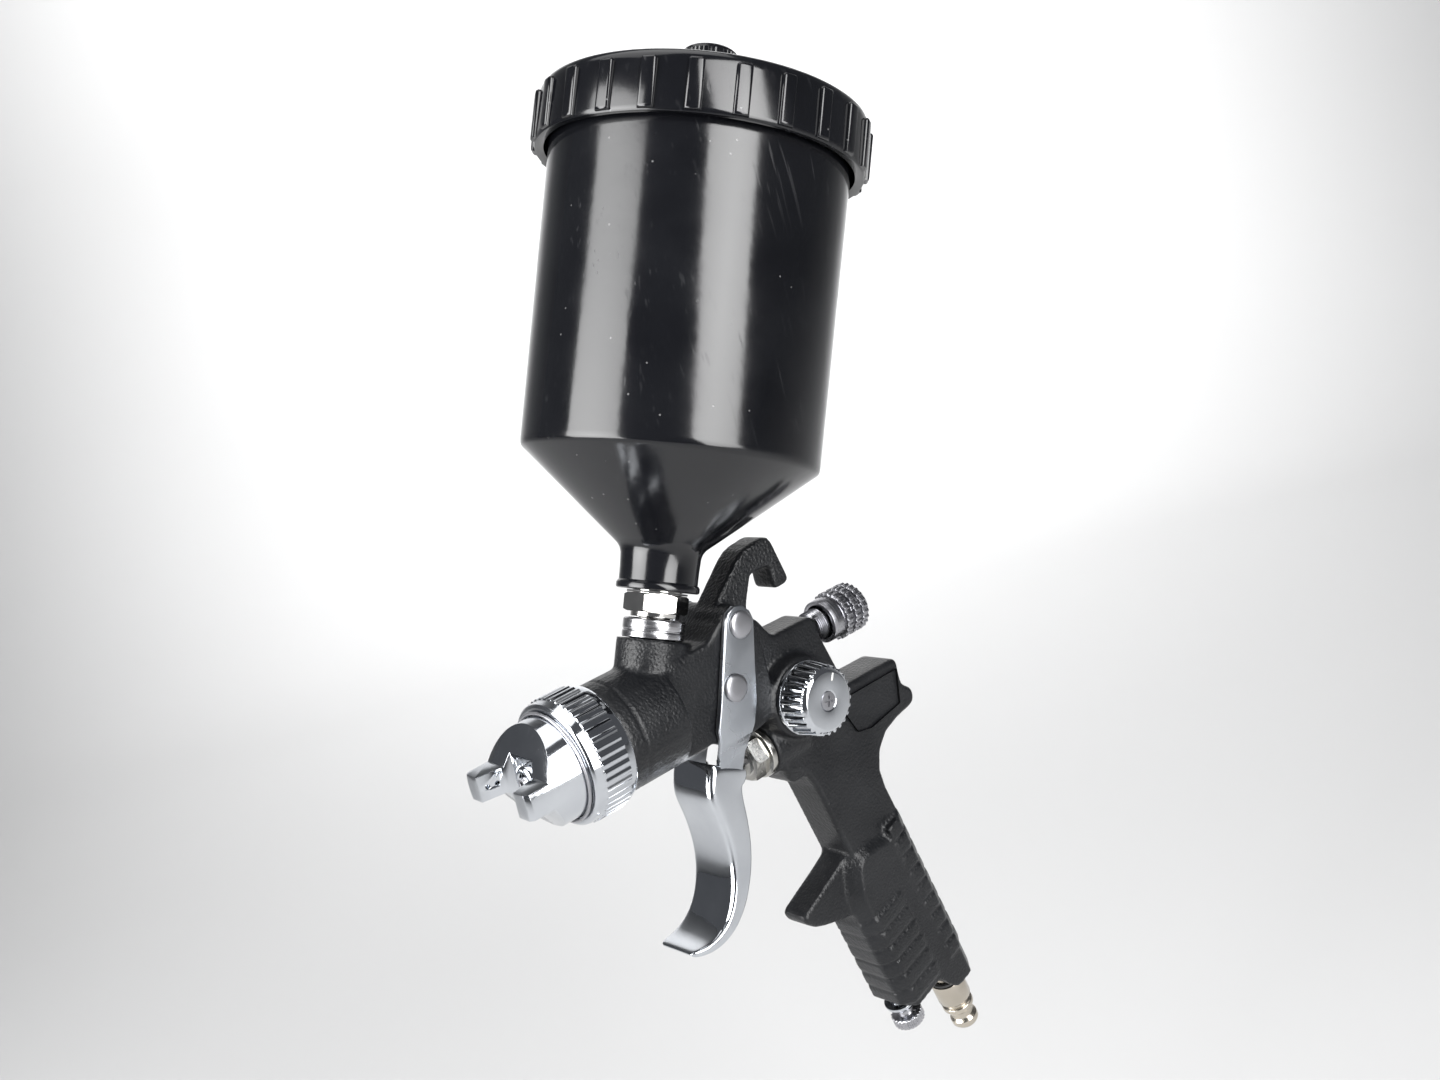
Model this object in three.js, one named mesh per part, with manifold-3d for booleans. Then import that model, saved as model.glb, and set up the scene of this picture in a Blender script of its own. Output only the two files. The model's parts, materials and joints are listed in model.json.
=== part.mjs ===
// A gravity-feed HVLP spray gun: cast body with a pressed-steel trigger, a screw-in paint cup on top,
// an air cap and fluid nozzle at the front, and the needle, air valve and three adjusters inside.
// Millimetres. The nozzle's axis runs along X and sprays towards -X, +Z is up, -Y is the user's left.
// Points of the side outlines are [x, z] pairs measured from the nozzle's axis at the barrel's front.
import * as THREE from "three";
import { mergeVertices } from "three/addons/utils/BufferGeometryUtils.js";
import Module from "manifold-3d";

const wasm = await Module();
wasm.setup();

// ---- Driving dimensions ----
const GAP = 0.3; // between faces that touch
const RUN = 0.1; // radial clearance of a shaft in its hole
const HOOK_SEAT = { x: 71.3, z: 27.2 }; // middle of the hook's hanging face: the part's origin

// Cast body
const NOSE_R = 16.9; // threaded nose that carries the air cap ring
const BARREL_R = NOSE_R + 0.4;
const NOSE_FRONT = -10;
const BARREL_FRONT = 0.2;
const CHEEK = 11; // half width of the flats that the trigger straddles
const CHEEK_FRONT = 22;
const STEM_HALF = 6.5;
const HOOK_HALF = 5;
const HANDLE_HALF = 7.7;
const GRIP_HALF = 10;
const HANDLE_LEAN = THREE.MathUtils.degToRad(14);
const HANDLE_TOP = { x: 102.2, z: -60 }; // where the handle's own (forward, down) measure starts
const HANDLE_BACK = 3;
const REST_TIP = 55.5; // reach of the finger rest, forward of the same line
const REST_HALF = 5.5;
const HANDLE_FRONT = 28.5;
const GRIP_FRONT = 37;
const GRIP_END = 82;
const LOBE_STEP = 9.5; // how much the front lobe of the grip's end stops short of the back one

// Nozzle end
const CAP_R = NOSE_R - 1.1;
const CAP_BACK = -10.6;
const CAP_TIP = -35.8;
const CAP_FLAT_Z = 3.9; // half height of the horns
const CAP_TURN = THREE.MathUtils.degToRad(4);
const HORN_INNER = 9.6;
const RING_R = NOSE_R + 2.6;
const RING_FRONT = -15.6;
const RING_BACK = -0.7;
const RING_TEETH = 48;
const NOZZLE_R = 4.2;
const NOZZLE_TIP = -27.5;
const DISTRIBUTOR_R = NOSE_R - 4.3;
const AIR_RING_R = NOSE_R - 6.3; // middle of the ring of air ways in the nose
const CAP_CHAMBER_R = CAP_R - 2.4;

// Needle and fluid adjuster
const NEEDLE_R = 1;
const SPRING_BORE_R = 4;
const SLEEVE_R = 5.3;
const SLEEVE_BACK = 94;
const KNOB_R = 8.4;
const KNOB_FRONT = 96.2;
const KNOB_BACK = 111;

// Trigger
const PIVOT = { x: 51.4, z: 17.4 };
const PUSH = { x: 43.5, z: 0 };
const PIN_R = 2.4;
const PIN_HEAD_R = 4.3;
const TRIGGER_SHEET = 2;
const PIN_SEAT = CHEEK + GAP + TRIGGER_SHEET + GAP; // how far out the pins' heads sit
const CHANNEL_HALF = 10; // half width of the channel below the body
const STEP_TOP = -BARREL_R - 3; // where the straps step in, just under the body

// Air valve
const VALVE_Z = -29;
const VALVE_FACE = 57;
const VALVE_BORE_R = 5.5;
const VALVE_BORE_END = 94;
const VALVE_STEM_R = 1.5;
const VALVE_SEAT = 66;
const STEM_TIP = 28.9; // where the valve's stem meets the trigger

// Pattern adjuster
const FAN = { x: 70.1, z: -15 };
const FAN_FACE = 11.7;
const FAN_KNOB_R = 11.9;
const FAN_KNOB_FACE = 22.8;
const FAN_BUSH_R = 4.6;
const FAN_BOSS_R = 14;

// Air regulator and inlet under the grip
const REGULATOR_FORWARD = 32.5;
const REGULATOR_BASE = GRIP_END - LOBE_STEP;
const REGULATOR_R = 5.7;
const INLET_FORWARD = 11;
const INLET_BORE_R = 4.6;
const INLET_PLUG_R = 6.2;
const AIR_BORE_R = 3.4;

// Cup
const CUP_TILT = THREE.MathUtils.degToRad(26);
const CUP_X = 18.1; // where the cup's axis meets the nozzle's axis
const CUP_R = 46;
const CUP_DRAFT = 1; // how much narrower the cylinder is at its lower end
const CUP_WALL = 2;
const CUP_CONE_TOP = 76.7;
const CUP_RIM = 180;
const NECK_R = 12.6;
const NECK_BOTTOM = 37.6;
const NECK_TOP = 50.5;
const PORT_R = 10.8;
const PORT_TOP = 23.2;
const COLLAR_R = 9.4;
const COLLAR_TOP = 29.5;
const HEX_R = 9.8;
const HEX_BOTTOM = 31.2;
const PAINT_BORE_R = 5;
const LID_R = CUP_R + 5.6;
const LID_BOTTOM = 166.5;
const LID_SHOULDER = 184.5;
const LID_TOP = 191;
const VENT_TOP = 203;
const LID_WALL = 2.2;
const LID_RIBS = 24;
const VENT_R = 9;
const VENT_SHAFT_R = 3;

// ---- Solid helpers ----

// A closed three.js geometry as a solid, with its faces turned outwards.
function solid(geometry) {
  geometry.deleteAttribute("normal");
  geometry.deleteAttribute("uv");
  const merged = mergeVertices(geometry, 1e-4);
  const v = merged.attributes.position.array;
  const faces = [];
  const index = merged.index.array;
  let volume = 0;
  for (let i = 0; i < index.length; i += 3) {
    const [a, b, c] = [index[i], index[i + 1], index[i + 2]];
    if (a === b || b === c || a === c) continue;
    faces.push([a, b, c]);
    const [p, q, r] = [a, b, c].map((k) => new THREE.Vector3().fromArray(v, 3 * k));
    volume += p.dot(q.cross(r));
  }
  const triVerts = new Uint32Array(faces.flatMap((f) => (volume < 0 ? [f[0], f[2], f[1]] : f)));
  return new wasm.Manifold(new wasm.Mesh({ numProp: 3, vertProperties: v, triVerts }));
}

// A [radius, height] profile turned about the line from `at` along `axis`. A profile that doesn't
// start on the axis closes on itself.
function turned(profile, axis, at, segments = 20) {
  const points = profile.map(([r, h]) => new THREE.Vector2(r, h));
  if (profile[0][0] > 0) points.push(points[0].clone());
  const geometry = new THREE.LatheGeometry(points, segments);
  const turn = new THREE.Quaternion().setFromUnitVectors(new THREE.Vector3(0, 1, 0), axis);
  geometry.applyQuaternion(turn).translate(at.x, at.y ?? 0, at.z);
  return solid(geometry);
}

function rod(radius, from, to, axis, at, segments = 16) {
  return turned([[0, from], [radius, from], [radius, to], [0, to]], axis, at, segments);
}

function tube(inner, outer, from, to, axis, at, segments = 20) {
  return turned([[inner, from], [outer, from], [outer, to], [inner, to]], axis, at, segments);
}

// A rod with a straight-sided section, corner to corner 2 * radius.
function prism(sides, radius, from, to, axis, at) {
  return rod(radius, from, to, axis, at, sides);
}

// A ring or knob with a toothed rim, as a rod from one radius to another along the axis.
function toothed(root, tip, teeth, from, to, axis, at, taper = 1) {
  const shape = new THREE.Shape();
  for (let i = 0; i < 2 * teeth; i++) {
    const angle = (Math.PI * i) / teeth;
    const r = i % 2 ? tip : root;
    const p = [r * Math.cos(angle), r * Math.sin(angle)];
    if (i) shape.lineTo(...p);
    else shape.moveTo(...p);
  }
  const geometry = new THREE.ExtrudeGeometry(shape, { depth: to - from, bevelEnabled: false });
  const position = geometry.attributes.position;
  for (let i = 0; i < position.count; i++) {
    const k = 1 + ((taper - 1) * position.getZ(i)) / (to - from);
    position.setXYZ(i, position.getX(i) * k, position.getY(i) * k, position.getZ(i) + from);
  }
  const turn = new THREE.Quaternion().setFromUnitVectors(new THREE.Vector3(0, 0, 1), axis);
  geometry.applyQuaternion(turn).translate(at.x, at.y ?? 0, at.z);
  return solid(geometry);
}

// A plate from a side outline of [x, z, corner radius] points, `half` thick each side of y = 0,
// with its edges rounded by `edge`.
function plate(outline, half, edge = 0, middle = 0) {
  const shape = new THREE.Shape();
  const n = outline.length;
  outline.forEach(([x, z, round = 0], i) => {
    const corner = new THREE.Vector2(x, z);
    const toward = (j) => {
      const other = new THREE.Vector2(outline[j][0], outline[j][1]);
      const reach = Math.min(round, 0.45 * other.distanceTo(corner));
      return other.sub(corner).setLength(reach).add(corner);
    };
    const before = toward((i + n - 1) % n);
    const after = toward((i + 1) % n);
    if (i) shape.lineTo(before.x, before.y);
    else shape.moveTo(before.x, before.y);
    if (round) shape.quadraticCurveTo(corner.x, corner.y, after.x, after.y);
  });
  const geometry = new THREE.ExtrudeGeometry(shape, {
    depth: 2 * (half - edge),
    curveSegments: 2,
    bevelEnabled: edge > 0,
    bevelThickness: edge,
    bevelSize: edge,
    bevelOffset: -edge,
    bevelSegments: 1,
  });
  geometry.rotateX(Math.PI / 2).translate(0, middle + half - edge, 0);
  return solid(geometry);
}

function box(low, high) {
  const size = high.map((h, i) => h - low[i]);
  const geometry = new THREE.BoxGeometry(...size);
  return solid(geometry.translate(...low.map((l, i) => l + size[i] / 2)));
}

// A coil spring along `axis` from one end to the other.
function coil(radius, wire, turns, from, to, axis, at) {
  const length = to - from - 2 * wire;
  class Helix extends THREE.Curve {
    getPoint(t) {
      const angle = 2 * Math.PI * turns * t;
      const along = from + wire + length * t;
      return new THREE.Vector3(radius * Math.cos(angle), along, radius * Math.sin(angle));
    }
  }
  const section = new THREE.Shape();
  section.absarc(0, 0, wire, 0, 2 * Math.PI, false);
  const geometry = new THREE.ExtrudeGeometry(section, {
    extrudePath: new Helix(),
    steps: Math.round(8 * turns),
    curveSegments: 3,
  });
  const turn = new THREE.Quaternion().setFromUnitVectors(new THREE.Vector3(0, 1, 0), axis);
  geometry.applyQuaternion(turn).translate(at.x, at.y ?? 0, at.z);
  return solid(geometry);
}

const join = (...solids) => solids.reduce((a, b) => a.add(b));

// ---- Axes and places ----
const X = new THREE.Vector3(1, 0, 0);
const Y = new THREE.Vector3(0, 1, 0);
const CUP_AXIS = new THREE.Vector3(Math.sin(CUP_TILT), 0, Math.cos(CUP_TILT));
const DOWN_HANDLE = new THREE.Vector3(Math.sin(HANDLE_LEAN), 0, -Math.cos(HANDLE_LEAN));
const NOZZLE = { x: 0, z: 0 };
const CUP = { x: CUP_X, z: 0 };
const VALVE = { x: 0, z: VALVE_Z };

// A point `forward` of the handle's back reference line and `down` along it.
function handlePoint(forward, down) {
  const x = HANDLE_TOP.x - forward * Math.cos(HANDLE_LEAN) + down * Math.sin(HANDLE_LEAN);
  const z = HANDLE_TOP.z - forward * Math.sin(HANDLE_LEAN) - down * Math.cos(HANDLE_LEAN);
  return [x, z];
}
const place = ([x, z]) => ({ x, z });
const REGULATOR = place(handlePoint(REGULATOR_FORWARD, 0));
const INLET = place(handlePoint(INLET_FORWARD, 0));

// ---- Cast body ----
function barrel() {
  const body = turned(
    [[0, NOSE_FRONT], [NOSE_R, NOSE_FRONT], [NOSE_R, BARREL_FRONT], [BARREL_R, BARREL_FRONT + GAP],
      [BARREL_R, 31], [BARREL_R - 2.5, 38], [BARREL_R - 4, 48], [0, 48]], X, NOZZLE, 28);
  const side = (s) => {
    const y = [s * CHEEK, s * 2 * BARREL_R].sort((a, b) => a - b);
    return box([CHEEK_FRONT, y[0], -2 * BARREL_R], [2 * CHEEK_FRONT + 20, y[1], 2 * BARREL_R]);
  };
  return body.subtract(side(-1)).subtract(side(1));
}

function trunk() {
  const low = -BARREL_R - 2;
  const outline = [[CHEEK_FRONT + 2, -8], [CHEEK_FRONT + 2, 15, 2], [40, 16], [47, 21, 3], [56, 22, 5],
    [60, 12, 4], [60, low + 4, 4], [48, low + 1.5, 4], [36, low + 3]];
  return plate(outline, CHEEK, 0.7);
}

function hook() {
  const seat = HOOK_SEAT.z;
  const outline = [[39, 8], [40.5, 15], [66, seat + 8.6, 4], [78, seat + 9.5, 3], [82.3, seat - 7.6, 2],
    [75.2, seat - 8.4, 2], [75.2, seat, 1], [67.3, seat, 1], [62.6, 18.5, 2], [60, 4]];
  return plate(outline, HOOK_HALF, 0.7);
}

function stem() {
  const outline = [[50, 10], [63, 15, 2], [68.5, 6.2, 2], [86.4, 5.9, 2], [88.4, -3.8], [92.6, -18, 2],
    [92.6, -42], [62, -42], [VALVE_FACE + 2, VALVE_Z - 9, 3], [VALVE_FACE + 2, -19.5, 2], [50, -14]];
  return plate(outline, STEM_HALF, 0.7);
}

function handle() {
  const outline = [[VALVE_FACE + 2, VALVE_Z + 8, 2], [93, -20.8, 2], [117.3, -21.4, 2], [117, -31.5, 3],
    [121.5, -34, 2], [121.5, -39.5, 3], [104, -42.5, 9], [97.4, -54, 7], [...handlePoint(HANDLE_BACK, 8), 7],
    [...handlePoint(HANDLE_BACK, 30), 2], [...handlePoint(HANDLE_FRONT, 30), 2],
    [...handlePoint(HANDLE_FRONT, -28), 8], [VALVE_FACE + 2, VALVE_Z - 9, 2]];
  return plate(outline, HANDLE_HALF, 0.9);
}

// The grip is a round-edged bar whose lower end is cut back in two lobes, one round each fitting.
function grip() {
  const far = GRIP_END + 8;
  const bar = [[...handlePoint(HANDLE_BACK, 14), 6], [...handlePoint(HANDLE_BACK - 0.5, 50), 8],
    [...handlePoint(HANDLE_BACK, far), 6], [...handlePoint(GRIP_FRONT, far), 6],
    [...handlePoint(GRIP_FRONT, 20), 8], [...handlePoint(HANDLE_FRONT, 6), 6]];
  const below = [handlePoint(-4, GRIP_END - 8), [...handlePoint(4, GRIP_END), 3],
    [...handlePoint(15, GRIP_END), 3], [...handlePoint(20, REGULATOR_BASE), 2],
    [...handlePoint(GRIP_FRONT - 1, REGULATOR_BASE), 4], handlePoint(GRIP_FRONT + 4, GRIP_END - 30),
    handlePoint(GRIP_FRONT + 10, far + 10), handlePoint(-10, far + 10)];
  return plate(bar, GRIP_HALF, 4).subtract(plate(below, GRIP_HALF + 1));
}

function fingerRest() {
  const outline = [handlePoint(12, 2), [...handlePoint(HANDLE_FRONT + 3, 9), 6],
    [...handlePoint(REST_TIP, 13), 3], [...handlePoint(REST_TIP - 3, 20), 5],
    [...handlePoint(GRIP_FRONT + 1, 28), 3], handlePoint(12, 32)];
  return plate(outline, REST_HALF, 0.9);
}

function gunBody() {
  const solids = join(
    barrel(), trunk(), hook(), stem(), handle(), grip(), fingerRest(),
    rod(PORT_R, 2, PORT_TOP, CUP_AXIS, CUP, 28),
    rod(5.6, -CHEEK, CHEEK, Y, PIVOT, 20),
    rod(VALVE_BORE_R + 3.4, VALVE_FACE, VALVE_FACE + 14, X, VALVE, 20),
    turned([[0, -FAN_FACE], [FAN_BOSS_R - 1.5, -FAN_FACE], [FAN_BOSS_R, -STEM_HALF], [FAN_BOSS_R, STEM_HALF],
      [12, STEM_HALF + 1.5], [0, STEM_HALF + 1.5]], Y, FAN, 28),
  );
  const slot = plate([[PUSH.x - PIN_R - 0.6, -PIN_R - 2, 1], [PUSH.x - PIN_R - 0.6, PIN_R + 1, 1],
    [PUSH.x + PIN_R + 4.6, PIN_R + 1, 1], [PUSH.x + PIN_R + 4.6, -PIN_R - 2, 1]], CHEEK + 1);
  const cuts = [
    slot,
    rod(7, NOSE_FRONT - 1, 6, X, NOZZLE, 20), // seat of the distributor's spigot
    tube(AIR_RING_R - 2, AIR_RING_R + 2, NOSE_FRONT - 1, NOSE_FRONT + 3, X, NOZZLE), // air ring
    rod(NOZZLE_R + GAP, 5, 16, X, NOZZLE), // nozzle thread
    rod(2.4, 15, 30, X, NOZZLE), // paint way
    rod(PAINT_BORE_R, 0, PORT_TOP + 1, CUP_AXIS, CUP), // cup port
    rod(7.2, 10, PORT_TOP + 1, CUP_AXIS, CUP, 28), // port thread
    rod(3.4, 29, 39, X, NOZZLE), // packing
    rod(NEEDLE_R + RUN, 37, 62, X, NOZZLE), // needle guide
    rod(2.8, 36, PUSH.x + 11, X, NOZZLE), // room for the needle's collar
    rod(SPRING_BORE_R, 62, 92, X, NOZZLE), // needle spring and sleeve
    rod(VALVE_BORE_R, VALVE_FACE - 1, VALVE_BORE_END, X, VALVE), // air valve
    rod(FAN_BUSH_R, -FAN_FACE - 1, 2, Y, FAN), // pattern valve
    rod(PIN_R + RUN, -CHEEK - 1, CHEEK + 1, Y, PIVOT),
    rod(INLET_BORE_R, GRIP_END - 14, GRIP_END + 6, DOWN_HANDLE, INLET),
    rod(AIR_BORE_R, -28, GRIP_END - 13, DOWN_HANDLE, INLET),
    rod(3.6, REGULATOR_BASE - 18, REGULATOR_BASE + 8, DOWN_HANDLE, REGULATOR),
    airWay(),
    regulatorWay(),
  ];
  return cuts.reduce((a, b) => a.subtract(b), solids);
}

// The slanting way that takes air from the valve's chamber to the annulus behind the air cap.
function airWay() {
  const from = new THREE.Vector3(VALVE_SEAT - 4, 0, VALVE_Z + 2);
  const to = new THREE.Vector3(NOSE_FRONT + 1, 0, -AIR_RING_R);
  const axis = to.clone().sub(from);
  return rod(2.2, 0, axis.length(), axis.clone().normalize(), from, 16);
}

// The cross way between the regulator's chamber and the inlet bore.
function regulatorWay() {
  const down = REGULATOR_BASE - 14;
  const from = place(handlePoint(REGULATOR_FORWARD, down));
  const axis = new THREE.Vector3(Math.cos(HANDLE_LEAN), 0, Math.sin(HANDLE_LEAN));
  return rod(2, 0, REGULATOR_FORWARD - INLET_FORWARD, axis, from, 16);
}

// ---- Nozzle end ----
function fluidNozzle() {
  const outside = join(
    turned([[0, NOZZLE_TIP], [1.6, NOZZLE_TIP], [2.2, -21], [5.4, -18], [6.2, -14], [0, -14]], X, NOZZLE),
    prism(6, 7.4, -14.4, NOSE_FRONT - 2 * GAP - 1.3, X, NOZZLE),
    rod(NOZZLE_R, NOSE_FRONT - 2, 13, X, NOZZLE),
  );
  const bore = turned([[0, NOZZLE_TIP - 1], [0.75, NOZZLE_TIP - 1], [0.75, NOZZLE_TIP + 1.5],
    [2.1, NOZZLE_TIP + 8], [2.1, 14], [0, 14]], X, NOZZLE, 16);
  return outside.subtract(bore);
}

// The disc in front of the nose that spreads the air evenly before it reaches the cap.
function airDistributor() {
  const back = NOSE_FRONT - GAP;
  const disc = tube(NOZZLE_R + GAP, DISTRIBUTOR_R, back - 1.3, back, X, NOZZLE, 20);
  const spigot = tube(NOZZLE_R + GAP, 6.7, back - 0.1, 2, X, NOZZLE, 20);
  const holes = [];
  for (let i = 0; i < 8; i++) {
    const angle = (2 * Math.PI * i) / 8;
    const at = { x: 0, y: AIR_RING_R * Math.cos(angle), z: AIR_RING_R * Math.sin(angle) };
    holes.push(rod(0.9, back - 2, back + 1, X, at, 8));
  }
  return holes.reduce((a, b) => a.subtract(b), disc.add(spigot));
}

function airCap() {
  const stock = turned([[0, CAP_TIP], [CAP_R - 1, CAP_TIP], [CAP_R, -20], [CAP_R, -13], [NOSE_R, -13],
    [NOSE_R, CAP_BACK], [0, CAP_BACK]], X, NOZZLE, 28);
  const outside = [[CAP_TIP - 5, CAP_FLAT_Z], [-27.7, CAP_FLAT_Z], [-20.9, CAP_R + 0.2], [-20.9, 30],
    [CAP_TIP - 5, 30]];
  const above = plate(outside, 20);
  const below = plate(outside.map(([x, z]) => [x, -z]), 20);
  const inner = [[CAP_TIP - 1, -HORN_INNER], [-28.5, 2 - HORN_INNER], [-25.5, 4 - HORN_INNER],
    [-25.5, HORN_INNER - 4], [-28.5, HORN_INNER - 2], [CAP_TIP - 1, HORN_INNER]];
  const between = new THREE.Shape(inner.map((p) => new THREE.Vector2(...p)));
  const gap = new THREE.ExtrudeGeometry(between, { depth: 24, bevelEnabled: false }).translate(0, 0, -12);
  const chamber = turned([[0, -22.5], [6.6, -22.5], [CAP_CHAMBER_R, -15], [CAP_CHAMBER_R, CAP_BACK + 1],
    [0, CAP_BACK + 1]], X, NOZZLE, 20);
  const holes = [];
  for (const side of [-1, 1]) {
    for (const x of [-33.1, -30]) {
      const into = new THREE.Vector3(0.35, side, 0).normalize();
      holes.push(rod(0.7, -3.2, 2.4, into, { x, y: side * (HORN_INNER - 0.6), z: 0 }, 10));
    }
  }
  const cuts = [above, below, solid(gap), chamber, rod(3, -30, -20, X, NOZZLE), ...holes];
  const cap = cuts.reduce((a, b) => a.subtract(b), stock);
  return cap.rotate([(CAP_TURN * 180) / Math.PI, 0, 0]);
}

function airCapRing() {
  const bands = turned([[CAP_R + GAP, RING_FRONT + 0.6], [CAP_R + 1, RING_FRONT], [RING_R - 1.4, RING_FRONT],
    [RING_R - 0.6, RING_FRONT + 3], [RING_R - 0.6, RING_BACK - 1], [RING_R - 1, RING_BACK],
    [NOSE_R + GAP, RING_BACK], [NOSE_R + GAP, -13 - GAP], [CAP_R + GAP, -13 - GAP]], X, NOZZLE, 28);
  const teeth = toothed(RING_R - 0.6, RING_R, RING_TEETH, RING_FRONT + 3.6, RING_BACK - 2.6, X, NOZZLE);
  return bands.add(teeth.subtract(rod(RING_R - 1.2, RING_FRONT, RING_BACK, X, NOZZLE, 28)));
}

// The spring wire in the cap's front groove that keeps the ring and the cap together.
function capWireRing() {
  const profile = [];
  for (let i = 0; i < 6; i++) {
    const angle = (Math.PI * i) / 3;
    profile.push([CAP_R + GAP + 0.55 + 0.5 * Math.cos(angle), RING_FRONT - 0.9 + 0.5 * Math.sin(angle)]);
  }
  return turned(profile, X, NOZZLE, 28);
}

// ---- Needle and fluid adjuster ----
function fluidNeedle() {
  return turned([[0, NOZZLE_TIP + 0.8], [0.35, NOZZLE_TIP + 0.9], [NEEDLE_R, NOZZLE_TIP + 9],
    [NEEDLE_R, 104], [0, 104]], X, NOZZLE, 16);
}

function needleCollar() {
  const x = PUSH.x + PIN_R + GAP;
  return tube(NEEDLE_R + RUN, 2.4, x, x + 4, X, NOZZLE, 20);
}

function needlePacking() {
  return tube(NEEDLE_R + RUN, 3.1, 30, 32.6, X, NOZZLE, 20);
}

function packingScrew() {
  return tube(NEEDLE_R + RUN, 3.1, 32.9, 36.5, X, NOZZLE, 20);
}

function springCup() {
  return tube(NEEDLE_R + RUN, SPRING_BORE_R - GAP, 66, 67.5, X, NOZZLE, 20);
}

function needleSpring() {
  return coil(2.7, 0.45, 6, 67.8, 90, X, NOZZLE);
}

function fluidSleeve() {
  const thread = [];
  for (let x = 88.8; x < SLEEVE_BACK - 1; x += 1.5) {
    thread.push([SLEEVE_R - 0.5, x], [SLEEVE_R, x + 0.75]);
  }
  return turned([[3.3, 80], [SPRING_BORE_R - GAP, 80], [SPRING_BORE_R - GAP, 88.6], ...thread,
    [SLEEVE_R - 0.4, SLEEVE_BACK], [3.3, SLEEVE_BACK]], X, NOZZLE, 20);
}

function fluidKnob() {
  const skirt = turned([[SLEEVE_R + 0.6, KNOB_FRONT - 2], [KNOB_R - 1.2, KNOB_FRONT - 2],
    [KNOB_R - 1, KNOB_FRONT + 2.4], [KNOB_R - 1.6, KNOB_FRONT + 2.6], [KNOB_R - 1.6, KNOB_BACK - 0.4],
    [KNOB_R - 3, KNOB_BACK], [2.4, KNOB_BACK], [2.4, KNOB_BACK - 5],
    [SLEEVE_R + 0.6, KNOB_BACK - 5]], X, NOZZLE, 20);
  const grips = [[KNOB_FRONT + 3.2, KNOB_FRONT + 6], [KNOB_FRONT + 7.2, KNOB_BACK - 1.4]];
  return grips.reduce((a, [from, to]) => {
    const band = toothed(KNOB_R - 0.5, KNOB_R, 24, from, to, X, NOZZLE);
    return a.add(band.subtract(rod(KNOB_R - 2, from - 1, to + 1, X, NOZZLE, 20)));
  }, skirt);
}

// ---- Trigger ----
// Two straps straddle the body; below it they step in and join a channel that ends in a forward curl.
function trigger() {
  const front = [[30.5, STEP_TOP], [28, -24], [26.2, -30], [28.2, -40], [28.6, -50], [26.6, -60], [22, -67.5],
    [14, -71.6], [5.5, -71.2]].map(([x, z]) => [x, z, 3]);
  const back = [[4.5, -73.4, 1], [14, -75.4, 4], [24, -71, 4], [31, -61.5, 4], [35.2, -52, 4],
    [38, -40, 4], [42.4, -26, 4], [46.5, -16, 4], [50.4, -7.6, 4], [57.3, 17, 6], [55, 23.6, 6],
    [47.5, 23, 5], [44.6, 16, 4],
    [36.5, -3, 4], [33.2, -10, 2], [33.2, STEP_TOP]];
  const wide = CHEEK + GAP + TRIGGER_SHEET;
  const outline = [...front, ...back];
  const wall = TRIGGER_SHEET;
  const inside = [[20, 40], [20, STEP_TOP - wall], [31, STEP_TOP - wall], [28.3, -30], [30.3, -40],
    [30.7, -50], [28.6, -60.6], [23.6, -69], [40, -80], [70, -60], [70, 40]].map(([x, z]) => [x, z, 2]);
  const upper = plate(outline, wide).intersect(box([0, -wide - 1, STEP_TOP - wall], [80, wide + 1, 40]));
  const lower = plate(outline, CHANNEL_HALF).intersect(box([0, -wide, -90], [80, wide, STEP_TOP]));
  const straps = upper.subtract(box([0, -CHEEK - GAP, STEP_TOP], [80, CHEEK + GAP, 41]))
    .subtract(plate(inside, CHANNEL_HALF - wall));
  const tip = lower.intersect(box([0, -wide, -80], [22, wide, -66]));
  const channel = lower.subtract(plate(inside, CHANNEL_HALF - wall)).add(tip);
  const holes = [PIVOT, PUSH].map((pin) => rod(PIN_R + RUN, -20, 20, Y, pin));
  return holes.reduce((a, b) => a.subtract(b), straps.add(channel));
}

// The near head of a pin, as a profile that ends on its shank.
function pinHead() {
  const top = -PIN_SEAT - 1.2;
  return [[0, top], [PIN_HEAD_R - 0.4, top], [PIN_HEAD_R, top + 0.4], [PIN_HEAD_R, -PIN_SEAT], [PIN_R, -PIN_SEAT]];
}

function pivotPin() {
  const foot = PIN_SEAT - 0.2;
  return turned([...pinHead(), [PIN_R, foot], [0, foot]], Y, PIVOT, 20);
}

function pivotCap() {
  return turned([[0, PIN_SEAT + 0.1], [PIN_HEAD_R, PIN_SEAT + 0.1], [PIN_HEAD_R, PIN_SEAT + 0.9],
    [PIN_HEAD_R - 0.4, PIN_SEAT + 1.3], [0, PIN_SEAT + 1.3]], Y, PIVOT, 20);
}

function pushPin() {
  const farHead = pinHead().map(([r, y]) => [r, -y]).reverse();
  const pin = turned([...pinHead(), ...farHead], Y, PUSH, 20);
  const way = NEEDLE_R + 0.15;
  return pin.subtract(rod(way, PUSH.x - 4, PUSH.x + 4, X, NOZZLE, 16))
    .subtract(box([PUSH.x - 4, -way, 0], [PUSH.x + 4, way, PIN_R + 1]));
}

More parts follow.
